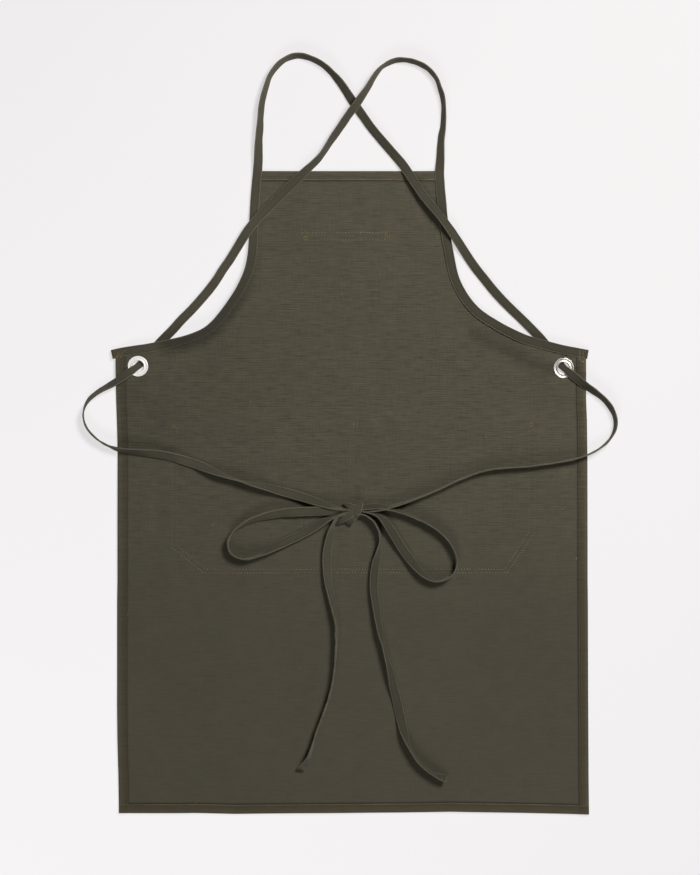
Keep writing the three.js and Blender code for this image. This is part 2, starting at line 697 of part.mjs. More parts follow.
// Waist tie: from under the wing up through the grommet, round the side and in to the knot
function makeTie(name, side, route, knotEnd) {
  const stations = stationsOf([
    atGrommet(side, -tieStart), atGrommet(side, -passageReach), atGrommet(side, passageReach),
    ...alongRoute(route), ...nearKnot(knotEnd),
  ]);
  const spot = grommetSpots[side];
  const flange = undersideOfGrid(spot.x, spot.y) + clothGauge + 2 * restGap + flangeGauge;
  const rows = passageTable.map(({ along, up }) => (
    { run: tieStart + passageReach * along, low: flange * up, width: passageWidth }
  ));
  rows[rows.length - 1].low += restGap;
  rows.unshift({ run: 0, low: 0, width: 1 });
  const end = tieStart + passageReach * passageEnd;
  return sweepTape(lay(name, stations, { passage: { rows, end } }));
}

// Knot: a rounded core with one wrap of tape over it; the clearance grows it to trim what enters it
const knotCore = {
  x: tapeWidth * knotShares.across, y: tapeWidth * knotShares.along, z: tapeWidth * knotShares.up,
};
function knotSolid(clearance) {
  const base = topAt(knotSpot.x, knotSpot.y) + knotCore.z + restGap;
  const core = new THREE.SphereGeometry(1, knotSides, knotRings);
  core.scale(knotCore.x + clearance, knotCore.y + clearance, knotCore.z + clearance);
  core.translate(knotSpot.x, knotSpot.y, base);
  const wrapShape = new THREE.Shape();
  const wrapY = knotCore.y * wrapShares.along + clearance;
  const wrapZ = knotCore.z * wrapShares.up + clearance;
  wrapShape.absellipse(0, 0, wrapY, wrapZ, 0, 2 * Math.PI);
  const wrapWidth = tapeWidth * wrapShares.wide + 2 * clearance;
  const wrap = new THREE.ExtrudeGeometry(
    wrapShape, { depth: wrapWidth, bevelEnabled: false, curveSegments: knotRings },
  );
  wrap.translate(0, 0, -wrapWidth / 2);
  wrap.rotateX(Math.PI / 2);
  wrap.rotateZ(Math.PI / 2);
  wrap.translate(knotSpot.x + tapeWidth * wrapShares.right, knotSpot.y, base);
  return solidOf(core).add(solidOf(wrap));
}

const finish = (color, roughness, metalness) => (
  new THREE.MeshStandardMaterial({ color, roughness, metalness })
);
const cloth = () => finish(0x4a4639, 0.92, 0);
const tape = () => finish(0x49453a, 0.9, 0);
const nickel = () => finish(0xc9c7c2, 0.25, 1);

const apron = new THREE.Group();
function addPiece(name, geometry, material) {
  const piece = new THREE.Mesh(geometry, material);
  piece.name = name;
  apron.add(piece);
}

addPiece('apron_panel', makePanel(), cloth());
addPiece('pocket', makePocket(), cloth());
addPiece('chest_tape', makeChestTape(), tape());
addPiece('armhole_binding_left', makeBinding(-1), tape());
addPiece('armhole_binding_right', makeBinding(1), tape());
addPiece('grommet_left', makeGrommet(-1), nickel());
addPiece('grommet_right', makeGrommet(1), nickel());
addPiece('neck_strap_left', makeNeckStrap('neck_strap_left', -1, []), tape());
addPiece('neck_strap_right', makeNeckStrap('neck_strap_right', 1, ['neck_strap_left']), tape());

const knotRoom = knotSolid(knotGap);
const trimmed = (solid) => geometryOf(solid.subtract(knotRoom));
const ties = [
  ['waist_tie_left', -1, tieLeftRoute, knotRows.tieLeft],
  ['waist_tie_right', 1, tieRightRoute, knotRows.tieRight],
];
for (const [name, side, route, knotEnd] of ties) {
  addPiece(name, trimmed(makeTie(name, side, route, knotEnd)), tape());
}

const bowParts = [
  ['bow_tail_left', [...nearKnot(knotRows.tailLeft), ...alongRoute(tailLeftRoute)]],
  ['bow_tail_right', [...nearKnot(knotRows.tailRight), ...alongRoute(tailRightRoute)]],
  ['bow_loop_left', [
    ...nearKnot(knotRows.loopLeftStart), ...alongRoute(loopLeftRoute), ...nearKnot(knotRows.loopLeftEnd),
  ]],
  ['bow_loop_right', [
    ...nearKnot(knotRows.loopRightStart), ...alongRoute(loopRightRoute), ...nearKnot(knotRows.loopRightEnd),
  ]],
];
for (const [name, rows] of bowParts) {
  addPiece(name, trimmed(sweepTape(lay(name, stationsOf(rows)))), tape());
}
addPiece('bow_knot', geometryOf(knotSolid(0)), tape());

export default apron;
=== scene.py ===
"""Looks of a cross-back work apron that lies flat on its front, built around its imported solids.

Lengths in the tables are millimetres, or pixels of the photograph where the name says so.
Meshes are made in metres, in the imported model's frame.
"""

import math

import bpy
import numpy as np
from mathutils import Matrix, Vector
from mathutils.geometry import delaunay_2d_cdt


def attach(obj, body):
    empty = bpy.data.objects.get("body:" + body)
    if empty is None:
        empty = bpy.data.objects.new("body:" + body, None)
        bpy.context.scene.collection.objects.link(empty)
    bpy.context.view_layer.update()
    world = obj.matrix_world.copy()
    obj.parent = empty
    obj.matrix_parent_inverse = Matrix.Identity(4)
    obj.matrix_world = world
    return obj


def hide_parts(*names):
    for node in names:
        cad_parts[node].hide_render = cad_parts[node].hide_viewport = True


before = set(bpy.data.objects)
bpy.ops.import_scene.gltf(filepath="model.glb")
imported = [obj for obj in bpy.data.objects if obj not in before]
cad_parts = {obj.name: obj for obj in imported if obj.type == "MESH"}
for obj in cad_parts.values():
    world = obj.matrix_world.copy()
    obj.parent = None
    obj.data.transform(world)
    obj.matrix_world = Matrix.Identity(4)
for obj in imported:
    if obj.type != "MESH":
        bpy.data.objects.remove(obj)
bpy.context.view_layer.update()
chance = np.random.default_rng(11)

# Sizes shared with the solids
SIDE_X = 330.0
HEM_Y = -450.0
WING_Y = 199.0
BIB_Y = 450.0
BIB_HALF = 134.0
BIB_LEAN = -5.0
CLOTH = 1.0
HEM_WIDTH = 13.4
HEM_RISE = 1.0
HEM_STITCH = 11.9
GAP = 0.3
TAPE_HALF = 6.5
LEG = 0.95
POCKET_BOX = (-254.0, -117.0, 254.0, 100.0)
POCKET_SLANT = 45.0
CHEST_BOX = (-66.7, 351.5, 57.3, 364.5)
GROMMET_RADIUS = 14.5
GROMMET_HOLE = 8.0
FLANGE = 1.2
WING_LIFT = 4.7
LAYER_LIFT = 1.3
ON_FLOOR_BELOW = 312.0
UNDER_WING_BELOW = 239.0
HALF_THICK = 1.1
TAPE_SLIT = 0.14
MID_CLOTH = CLOTH / 2 + 0.06

# Stitches, in millimetres from one to the next
STRAP_PITCH = 3.3
HEM_PITCH = 3.4
POCKET_PITCH = 4.2

# The photograph: millimetres a pixel, and the pixel that is the origin
SCALE = 1.404
ORIGIN_X = 352.0
ORIGIN_Y = 491.5


def spots(rows):
    """Rows that start with a pixel's x and y, turned into millimetres in the model's frame."""
    columns = 2 if len(rows[0]) == 2 else 5
    table = np.array([tuple(row) + (0,) * (columns - len(row)) for row in rows], float)
    table[:, 0] = (table[:, 0] - ORIGIN_X) * SCALE
    table[:, 1] = (ORIGIN_Y - table[:, 1]) * SCALE
    return table


# Outer edge of the armhole bindings, from wing tip to bib top, in pixels
ARMHOLE_LEFT = [
    (111, 350), (120, 348), (132, 346), (146, 344), (155, 342.3), (171, 339.6), (188, 335.5), (204, 328.5),
    (213, 321), (221, 311.5), (229, 300.5), (236, 289.5), (241, 279.5), (245, 269), (247.3, 258),
    (248.5, 245), (249.3, 220), (250.3, 200), (252, 180), (253, 171),
]
ARMHOLE_RIGHT = [
    (588.5, 350), (578, 348), (568, 346.2), (559, 344.2), (547, 341), (530, 336.3), (514, 329.5),
    (495, 319), (481, 309.5), (472, 300), (465, 289.5), (460, 279.5), (457, 269.5), (454.7, 258),
    (450.5, 235), (447.7, 217), (446.2, 200), (445, 188), (444, 171),
]

# Straps: pixel x, pixel y, tilt in degrees (0 flat, 90 on edge), share of full width, lift in millimetres
NECK_LEFT = [
    (258.3, 160, -22, 1), (258.5, 150, -34, 1), (259, 138, -42, 1), (260, 128, -47, 1),
    (260.7, 116, -54, 1), (262, 104, -58, 1), (264, 95, -62, 1), (266.7, 86, -65, 1), (269.5, 77.5, -67, 1),
    (275.5, 68.5, -68, 1), (282, 62, -68, 1), (290, 57.7, -67, 1), (298, 56, -66, 1), (307, 57.5, -66, 1),
    (319.5, 63, -66, 1), (327, 68.5, -63, 1), (333, 74.5, -56, 1), (338.3, 80.5, -47, 1),
    (342.5, 86, -39, 1), (346.5, 92, -32, 1), (351, 99, -26, 1), (355.5, 105.6, -20, 1),
    (362.5, 115.6, -24, 1), (371.3, 128, -26, 1), (381.3, 140, -26, 1), (391.7, 152, -22, 1),
    (402, 164, -6, 1, 0.5), (408.5, 173.5, 8, 1, 1.5), (423.5, 196.5, 24, 1, 2.5), (444, 222, 27, 1, 2.5),
    (457.5, 241, 16, 1, 1), (469.5, 259.5, 2, 1), (477, 270, -5, 1), (485, 280, -9, 1), (493, 290, -9, 1),
    (502, 300, -8, 1), (512, 310, -6, 1), (522.5, 320, -3, 1), (532.5, 330, 0, 1), (541.5, 339.5, 0, 1),
    (550, 350, 0, 0.96),
]
NECK_RIGHT = [
    (440.3, 160, 28, 1), (440.6, 150, 38, 1), (441.3, 138, 48, 1), (442.9, 128, 57, 1), (443.6, 116, 62, 1),
    (443.4, 104, 65, 1), (442.2, 96, 67, 1), (440.2, 90, 69, 1), (437, 80.5, 72, 1), (433, 74.5, 73, 1),
    (427, 68.5, 74, 1), (415, 62.5, 73, 1), (403, 60.3, 72, 1), (395, 61, 72, 1), (388, 63.8, 72, 1),
    (381.5, 68, 72, 1), (377, 73, 72, 1), (373, 79, 68, 1), (369, 86, 58, 1), (365, 92.5, 51, 1),
    (361, 98.5, 44, 1), (356, 106, 40, 1), (348.3, 116, 41, 1), (339.9, 128, 43, 1), (331.6, 140, 50, 1),
    (323.9, 152, 58, 1), (319, 158.5, 56, 1), (313, 164.5, 48, 1), (306, 171, 36, 1), (299, 178, 18, 1),
    (284, 192, 6, 1), (266.4, 210, 4, 1), (251.7, 226, 8, 1), (236.5, 249, 22, 1), (229.7, 260, 26, 1),
    (222.7, 270, 26, 1), (216.5, 280, 24, 1), (209, 290, 20, 1), (200.5, 300, 18, 1), (191.5, 310, 18, 1),
    (181.5, 320, 14, 1), (172.5, 330, 8, 1), (162.5, 340, 0, 1), (152, 351, 0, 0.96),
]
TIE_LEFT = [
    (129.4, 372.8, -12, 0.86), (118.5, 380.6, -34, 0.94), (108, 386.4, -50, 1), (98, 392.2, -60, 1),
    (88.8, 400.3, -68, 1), (84.2, 410, -82, 1), (83.8, 418, -88, 1), (87.5, 428.5, -90, 1),
    (98.5, 440, -88, 1), (108, 445.6, -80, 1), (117, 449.2, -71, 1), (127, 450.8, -62, 1),
    (140, 452.2, -48, 1), (163, 454.8, -30, 1), (182, 459.6, -12, 1), (201, 465.9, 16, 1),
    (212, 470.6, 42, 1), (226.6, 476.4, 76, 1), (243, 481.6, 82, 1), (252, 484, 72, 1), (268, 487.6, 44, 1),
    (284.6, 492, 18, 1), (303, 497.2, 18, 1, 0.8), (318, 502.3, 40, 1, 1.2), (333, 507, 62, 0.9, 1),
    (347, 509.6, 70, 0.75, 0),
]
TIE_RIGHT = [
    (571.4, 374.6, -20, 0.88), (578, 380.2, -34, 0.96), (586, 386.4, -46, 1), (594.4, 392, -56, 1),
    (604.4, 400, -64, 1), (611.8, 410, -70, 1), (615.2, 420, -74, 1), (614.4, 430, -80, 1),
    (608.8, 440, -86, 1), (600, 448, -89, 1), (586, 455.4, -90, 1), (566, 460.8, -90, 1),
    (541, 464.9, -90, 1), (521, 467.2, -90, 1), (503, 468, -89, 1), (483, 471.2, -88, 1),
    (461.6, 478.6, -88, 1), (436.4, 490.4, -88, 1), (413, 499.6, -86, 1), (393, 506, -76, 1),
    (376, 509.6, -66, 0.9), (362, 511.2, -60, 0.8),
]
LOOP_LEFT = [
    (348, 511.6, 60, 0.75, 2), (338, 510.8, 34, 0.9, 3), (326, 510.8, 16, 1, 4), (310, 511.2, 12, 1, 4.5),
    (294, 511.8, 14, 1, 4), (280, 513, 22, 1, 2.5), (266, 515.8, 36, 1, 1.2), (254, 519.4, 50, 1, 0.4),
    (243, 524.6, 72, 1), (231.5, 534, 88, 1), (228, 544.7, 91, 1), (232.4, 554.6, 91, 1),
    (243.2, 558.8, 90, 1), (256, 556.6, 82, 1), (266, 551.6, 60, 1), (275, 547, 40, 1), (286, 541.5, 24, 1),
    (300, 535, 20, 1), (312, 528.6, 30, 1), (322, 522.4, 50, 1), (333, 516.8, 68, 0.9),
    (346, 513.6, 76, 0.75),
]
LOOP_RIGHT = [
    (357, 508.8, 60, 0.75, 2), (370, 506.6, 50, 0.85, 2), (383, 506.8, 56, 0.95, 1), (398, 510.8, 74, 1),
    (419, 519.6, 86, 1), (437.4, 530.4, 90, 1), (450.6, 544.6, 91, 1), (456.4, 559.4, 91, 1),
    (453.8, 572, 92, 1), (445.5, 579, 93, 1), (435.6, 580.8, 98, 1), (424, 575, 118, 1),
    (414.4, 565, 144, 1, 0.5), (407.6, 556, 160, 1, 1), (400, 545, 162, 1, 2), (392.4, 532.6, 158, 1, 3),
    (385, 521.8, 140, 0.95, 3), (376, 514, 116, 0.85, 2), (362, 510.6, 100, 0.75, 1),
]
TAIL_LEFT = [
    (349, 512.6, 88, 0.7, 1), (340, 515.4, 82, 0.85, 1), (334.4, 521.8, 70, 0.95, 1),
    (331, 531, 52, 1, 0.6), (328.8, 541, 34, 1), (327.2, 552, 22, 1), (326.8, 562, 22, 1),
    (328, 580, 30, 1), (333.4, 605, 50, 1), (336.6, 623, 70, 1), (336.2, 648, 84, 1), (332.6, 682, 87, 1),
    (325.8, 706.7, 88, 1), (317.9, 727, 86, 1), (310.9, 750, 78, 1), (308, 759, 58, 1),
    (304.4, 765.2, 34, 0.96), (300.8, 769.6, 24, 0.92),
]
TAIL_RIGHT = [
    (356, 513.4, 88, 0.75, 1), (366, 515.4, 86, 0.85, 1), (373.6, 521, 84, 0.95, 1),
    (378.6, 530, 82, 1, 0.5), (380.6, 539, 72, 1), (379.6, 548, 58, 1), (376.8, 558, 42, 1),
    (374.6, 570, 30, 1), (373.8, 588, 28, 1), (376, 606, 36, 1), (379.4, 628, 54, 1), (384.6, 650, 72, 1),
    (389.8, 670, 56, 1), (394.4, 690, 16, 1), (398.6, 708, 4, 1), (401.6, 722, 10, 1), (404.2, 733, 40, 1),
    (408.8, 745.4, 74, 1), (415.4, 757.4, 82, 1), (424.6, 767.6, 82, 1), (434.2, 774, 74, 1),
    (440, 776.4, 60, 1), (445.4, 778.2, 50, 1),
]
GROMMETS = {"left": spots([(138.2, 366.3)])[0], "right": spots([(563.3, 368.1)])[0]}
PASSAGE_REACH = 4.2

# Knot wraps: pixel x, pixel y, height over the cloth, tilt, share of full width
KNOT_WRAPS = {
    "core": [(341, 513, 3.5, 0, 0.8), (346, 513, 5.5, 0, 0.95), (352, 513, 6.6, 0, 1), (358, 512, 6.0, 0, 0.95),
             (364, 511, 3.8, 0, 0.8)],
    "upright": [(358.8, 501.4, 3.0, 0, 0.84), (358.6, 503.8, 7.8, -6, 0.98), (357.8, 508, 10.0, -10, 1.0),
                (356.6, 512.6, 9.6, -10, 0.82), (355, 516.6, 7.4, -6, 0.6), (353.6, 520, 3.2, 0, 0.4)],
    "upper": [(357, 509, 7.6, 0, 0.7), (352.4, 507.2, 8.8, 8, 0.78), (348, 505.6, 7.8, 8, 0.66),
              (344.6, 505.2, 4.8, 4, 0.46), (342.8, 506, 2.4, 0, 0.3)],
    "lower": [(355, 511.2, 7.6, 0, 0.62), (350.6, 513.4, 8.6, -6, 0.88), (345, 516.4, 7.4, -8, 1.0),
              (339.6, 519.4, 4.6, -6, 0.98), (335, 522.2, 1.4, 0, 0.8)],
    "tuck": [(355.4, 514, 6.8, 0, 0.6), (352.6, 518, 7.2, 8, 0.8), (350, 521.8, 5.0, 10, 0.76),
             (348.4, 525, 2.0, 0, 0.56)],
}


# Curves
def length_along(line):
    """How far along a plan line each of its points is."""
    return np.concatenate([[0], np.cumsum(np.hypot(*np.diff(line, axis=0).T))])


def centripetal(table, step):
    """A smooth curve through the rows of a table, as rows about a step apart. Columns follow along."""
    xy = table[:, :2]
    chord = np.maximum(np.hypot(*np.diff(xy, axis=0).T), 1e-6)
    knots = np.concatenate([[0], np.cumsum(np.sqrt(chord))])
    slope = np.gradient(table, knots, axis=0)
    dense = []
    for index, reach in enumerate(chord):
        count = max(int(math.ceil(reach / 0.6)), 2)
        share = np.linspace(0, 1, count, endpoint=False)[:, None]
        width = knots[index + 1] - knots[index]
        a, b = table[index], table[index + 1]
        m, n = slope[index] * width, slope[index + 1] * width
        s2, s3 = share**2, share**3
        near_part = (2 * s3 - 3 * s2 + 1) * a + (s3 - 2 * s2 + share) * m
        dense.append(near_part + (3 * s2 - 2 * s3) * b + (s3 - s2) * n)
    dense.append(table[-1:])
    dense = np.vstack(dense)
    run = length_along(dense[:, :2])
    steps = max(int(round(run[-1] / step)), 2)
    at = np.linspace(0, run[-1], steps + 1)
    return np.stack([np.interp(at, run, dense[:, column]) for column in range(table.shape[1])], 1)


def smoothed(values, times):
    """Values averaged with their neighbours, the ends kept."""
    out = np.array(values, float)
    for _ in range(times):
        out[1:-1] = 0.25 * out[:-2] + 0.5 * out[1:-1] + 0.25 * out[2:]
    return out


def unit(vectors):
    return vectors / np.maximum(np.linalg.norm(vectors, axis=1, keepdims=True), 1e-9)


def to_the_right(line):
    """Unit vectors to the right of a plan line's run."""
    run = unit(np.gradient(line, axis=0))
    return np.stack([run[:, 1], -run[:, 0]], 1)


def shifted(line, distance):
    """A plan line moved sideways, to the right of its run where the distance is positive."""
    return line + distance * to_the_right(line)


def nearest_on(x, y, line):
    """Distance to a plan line, and how far along it the nearest point is, 0 to 1."""
    best = np.full(np.shape(x), 1e9)
    along = np.zeros(np.shape(x))
    for index, ((ax, ay), (bx, by)) in enumerate(zip(line[:-1], line[1:])):
        ux, uy = bx - ax, by - ay
        share = np.clip(((x - ax) * ux + (y - ay) * uy) / max(ux * ux + uy * uy, 1e-9), 0, 1)
        reach = np.hypot(x - ax - share * ux, y - ay - share * uy)
        along = np.where(reach < best, (index + share) / (len(line) - 1), along)
        best = np.minimum(best, reach)
    return best, along


def line_distance(x, y, line):
    return nearest_on(x, y, line)[0]


def box_distance(x, y, box):
    low_x, low_y, high_x, high_y = box
    return np.hypot(
        np.maximum(np.maximum(low_x - x, x - high_x), 0), np.maximum(np.maximum(low_y - y, y - high_y), 0)
    )


def inside(x, y, outline):
    """Which points lie inside a closed plan outline."""
    result = np.zeros(np.shape(x), bool)
    ax, ay = outline[-1]
    for bx, by in outline:
        crosses = (ay > y) != (by > y)
        if np.any(crosses):
            rise = (by - ay) if by != ay else 1e-9
            result ^= crosses & (x < (bx - ax) * (y - ay) / rise + ax)
        ax, ay = bx, by
    return result


def ease(value):
    held = np.clip(value, 0, 1)
    return held * held * (3 - 2 * held)


def hump(value, middle, width):
    """1 where the value is at the middle, falling off smoothly to both sides."""
    return np.exp(-(((value - middle) / width) ** 2))


def looked_up(value, table):
    """The second column of a table where its first column has the value."""
    return np.interp(value, table[:, 0], table[:, 1])


def ripple(seed, count, shortest, longest):
    """A smooth random surface of about unit height, as a function of x and y in millimetres."""
    source = np.random.default_rng(seed)
    angle = source.uniform(0, 2 * math.pi, count)
    length = source.uniform(shortest, longest, count)
    phase = source.uniform(0, 2 * math.pi, count)
    kx, ky = 2 * math.pi * np.cos(angle) / length, 2 * math.pi * np.sin(angle) / length

    def surface(x, y):
        x, y = np.asarray(x, float), np.asarray(y, float)
        total = np.zeros(x.shape)
        for a, b, c in zip(kx, ky, phase):
            total += np.cos(a * x + b * y + c)
        return total / math.sqrt(count)

    return surface


broad_swell = ripple(3, 12, 110, 260)
small_swell = ripple(5, 16, 26, 70)
crinkle = ripple(8, 18, 7, 15)

# The armholes' outer edges, both running from the wing tip to the bib's top
EDGE = {
    "left": centripetal(spots(ARMHOLE_LEFT), 2.6),
    "right": centripetal(spots(ARMHOLE_RIGHT), 2.6),
}
TOWARDS_CLOTH = {"left": 1, "right": -1}


def coarse(line, every=4):
    """Fewer points of a line, with its last one kept, for distances."""
    return np.vstack([line[::every], line[-1:]])


EDGE_COARSE = {side: coarse(line[:, :2]) for side, line in EDGE.items()}
NECK = {"left": spots(NECK_LEFT), "right": spots(NECK_RIGHT)}
FAR_SIDE = {"left": "right", "right": "left"}
# The left armhole's edge rolls up: place along it, and share of the full rise
ROLL = np.array([
    (0.17, 0), (0.22, 0.75), (0.28, 1), (0.5, 1), (0.59, 0.8), (0.67, 0.45), (0.76, 0.15), (0.86, 0),
])
ROLL_RISE = 12.0
ROLL_REACH = 24.0
UNDER_LINES = [
    np.vstack([rows[rows[:, 1] < UNDER_WING_BELOW][:, :2], GROMMETS[FAR_SIDE[side]]])
    for side, rows in NECK.items()
]

# How far the cut edges lie from their straight places: along the edge, and the shift there
LEFT_SHIFT = np.array([
    (-450, 2.6), (-400, 2.0), (-350, 0.6), (-300, 0), (-160, 0), (-124, 0.6), (44, 0.7), (70, 0.5),
    (100, -0.4), (128, -1.4), (184, -2.0), (199, -2.2),
])
RIGHT_SHIFT = np.array([
    (-450, 2.8), (-400, 2.2), (-340, 1.9), (-160, 1.3), (-124, 0.8), (44, 0.7), (100, 0.0), (128, -1.2),
    (184, -1.6), (199, -1.0),
])
BOTTOM_SHIFT = np.array([
    (-330, -1.7), (-240, -1.6), (-220, -1.4), (-165, -2.8), (-75, -1.8), (0, -1.4), (70, -0.9), (138, 0.4),
    (236, -1.4), (300, -2.8), (330, -3.6),
])


def laid_out(x, y):
    """Where a point of the straight cut lies once the cloth is on the floor."""
    x, y = np.asarray(x, float), np.asarray(y, float)
    side_share = ease((np.abs(x) - 200) / 130)
    below_wing = ease((WING_Y + 2 - y) / 16)
    shift = np.where(x < 0, looked_up(y, LEFT_SHIFT), looked_up(y, RIGHT_SHIFT))
    drop = looked_up(x, BOTTOM_SHIFT) * ease((HEM_Y + 120 - y) / 120)
    return x + shift * side_share * below_wing, y + drop


def roll_share(along):
    """How far the left armhole's edge is rolled up, 0 to 1, at a place along it."""
    return looked_up(along, ROLL)


def bump_over(lift, distance, reach):
    return lift * ease(1 - distance / reach)


def underside(x, y):
    """Height of the cloth's underside over the floor, from plan points in the model's frame."""
    x, y = np.asarray(x, float), np.asarray(y, float)
    layers = [
        bump_over(LAYER_LIFT, box_distance(x, y, POCKET_BOX), 26),
        bump_over(LAYER_LIFT + 0.8, box_distance(x, y, (-254, 86, 254, 100)), 22),
        bump_over(LAYER_LIFT, box_distance(x, y, CHEST_BOX), 24),
    ]
    for line in EDGE_COARSE.values():
        layers.append(bump_over(LAYER_LIFT, line_distance(x, y, line) - 2 * TAPE_HALF, 22))
    for line in UNDER_LINES:
        layers.append(bump_over(WING_LIFT, line_distance(x, y, line) - 17, 42))
    towards_edge = np.maximum(np.abs(x) / SIDE_X, (HEM_Y + 325 - y) / 325)
    wave = 1.3 * ease((towards_edge - 0.72) / 0.28) * (0.5 + 0.5 * np.sin(2 * math.pi * (x + 0.7 * y) / 210))
    layers.append(wave)
    layers.append(np.clip(0.22 + 0.16 * broad_swell(x, y), 0, None))
    power = 5
    total = sum(layer**power for layer in layers)
    reach, along = nearest_on(x, y, EDGE_COARSE["left"])
    roll = ROLL_RISE * roll_share(along) * np.clip(1 - reach / ROLL_REACH, 0, 1) ** 2.2
    return total ** (1 / power) + roll


def hem_profile(distance):
    """Height of a folded hem over the single cloth, at a distance in from its folded edge."""
    band = ease((HEM_WIDTH - distance) / 0.9 + 0.5)
    crown = 1 + 0.1 * np.sin(math.pi * np.clip(distance / 11, 0, 1))
    dip = 0.34 * hump(distance, HEM_STITCH, 0.75)
    return np.where(distance < HEM_WIDTH + 1, HEM_RISE * crown * band - dip * band, 0)


def edge_round(distance, thickness):
    """How far the top drops where the cloth folds round its edge."""
    depth = thickness / 2
    share = np.clip(1 - distance / (depth * 1.1), 0, 1)
    return depth * (1 - np.sqrt(np.clip(1 - share**2, 0, 1)))


def hem_parts(x, y):
    """Distances, in the straight cut, from the side, bottom and bib-top folds, and the least of them."""
    side = np.where(y < WING_Y + 12, SIDE_X - np.abs(x), 99)
    bottom = y - HEM_Y
    near_binding = BIB_HALF - np.abs(x - BIB_LEAN) < 2 * TAPE_HALF - 1
    top = np.where(near_binding & (y > WING_Y + 100), 99, BIB_Y - y)
    return side, bottom, top, np.minimum(np.minimum(side, bottom), top)


def calmness(nearest):
    """The share of its relief that the cloth keeps near a hem."""
    return 0.25 + 0.75 * ease((nearest - 10) / 22)


def cloth_relief(x, y):
    """Low relief of the single cloth: swells, crinkles and the creases that the photograph shows."""
    relief = 0.3 * broad_swell(x, y) + 0.10 * small_swell(x, y) + 0.018 * crinkle(x, y)
    for start, end, depth, width in CREASES:
        relief = relief - depth * hump(line_distance(x, y, spots([start, end])), 0, width)
    return relief


# Creases in the cloth: pixels of both ends, depth and width in millimetres (a negative depth stands up)
CREASES = [
    ((503, 350), (545, 367), 2.0, 9), ((520, 362), (556, 398), -0.5, 13), ((463, 616), (489, 622), 0.25, 3.5),
    ((551, 655), (574, 668), 0.3, 4.5), ((556, 652), (577, 660), -0.2, 3.5), ((176, 372), (205, 356), 0.8, 14),
    ((150, 395), (175, 425), -0.3, 13), ((240, 300), (262, 330), 0.35, 12), ((300, 380), (420, 372), 0.16, 22),
    ((205, 640), (260, 652), 0.15, 14), ((430, 690), (520, 705), 0.2, 18), ((360, 470), (362, 494), -0.5, 3.5),
]


def cloth_top(x, y):
    """Height of the apron's upper face at points of the straight cut, before it is laid out."""
    real_x, real_y = laid_out(x, y)
    side, bottom, top, nearest = hem_parts(x, y)
    corner = np.minimum(hem_profile(side), 1) * np.minimum(hem_profile(bottom), 1)
    hem = np.maximum(np.maximum(hem_profile(side), hem_profile(bottom)), hem_profile(top)) + 0.55 * corner
    relief = cloth_relief(real_x, real_y)
    pucker = 0.07 * hump(nearest, 14.5, 4) * np.sin(2 * math.pi * (real_x + real_y) / 8.3)
    drop = edge_round(nearest, CLOTH + HEM_RISE)
    return underside(real_x, real_y) + CLOTH + hem + relief * calmness(nearest) + pucker - drop


def surface_under(x, y):
    """Top of the cloth, hem, binding or grommet under plan points, and the floor beyond the cloth."""
    nearest = hem_parts(x, y)[3]
    base = underside(x, y) + CLOTH + 0.12
    height = base + np.where(nearest < HEM_WIDTH + 1, HEM_RISE + 0.1, 0)
    for line in EDGE_COARSE.values():
        near = line_distance(x, y, line) < 2 * TAPE_HALF + 0.5
        height = np.where(near, np.maximum(height, base + LEG + 0.25), height)
    for centre in GROMMETS.values():
        near = np.hypot(x - centre[0], y - centre[1]) < GROMMET_RADIUS + 0.5
        height = np.where(near, np.maximum(height, base + FLANGE + GAP), height)
    return np.where(inside(x, y, OUTLINE_COARSE), height, 0.0)


def cloth_outline(inset, step):
    """Outline of the whole cloth in the straight cut, inside the bindings' fold."""
    left = shifted(EDGE["left"][:, :2], inset)
    right = shifted(EDGE["right"][:, :2], -inset)
    left = left[np.abs(left[:, 0]) < SIDE_X - 0.5]
    right = right[np.abs(right[:, 0]) < SIDE_X - 0.5]
    left = left[left[:, 1] < BIB_Y - 0.5]
    right = right[right[:, 1] < BIB_Y - 0.5]

    def straight(a, b):
        count = max(int(round(math.dist(a, b) / step)), 1)
        share = np.linspace(0, 1, count, endpoint=False)[:, None]
        return np.array(a) + (np.array(b) - np.array(a)) * share

    left_tip, right_tip = (-SIDE_X, left[0, 1]), (SIDE_X, right[0, 1])
    left_top, right_top = (left[-1, 0], BIB_Y), (right[-1, 0], BIB_Y)
    return np.vstack([
        straight((-SIDE_X, HEM_Y), (SIDE_X, HEM_Y)), straight((SIDE_X, HEM_Y), right_tip), [right_tip],
        right, straight(right_top, left_top), [left_top], left[::-1], straight(left_tip, (-SIDE_X, HEM_Y)),
    ])


OUTLINE_COARSE = cloth_outline(0, 40)


# Meshes
def placed(name, data):
    """A new object of the scene with this data."""
    made = bpy.data.objects.new(name, data)
    bpy.context.scene.collection.objects.link(made)
    return made


def mesh_piece(name, vertices, faces, materials, slot, tone=None, indices=None):
    """A piece made from vertices in millimetres; it rides on the root. Its slot argument is not used."""
    mesh = bpy.data.meshes.new(name)
    mesh.from_pydata((np.asarray(vertices) * 0.001).tolist(), [], faces)
    for material in materials:
        mesh.materials.append(material)
    if indices is not None:
        mesh.polygons.foreach_set("material_index", indices)
    mesh.polygons.foreach_set("use_smooth", [True] * len(mesh.polygons))
    if tone is not None:
        layer = mesh.attributes.new("tone", "FLOAT_COLOR", "POINT")
        layer.data.foreach_set("color", np.asarray(tone, np.float32).ravel())
    mesh.update()
    piece = placed(name, mesh)
    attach(piece, "root")
    return piece
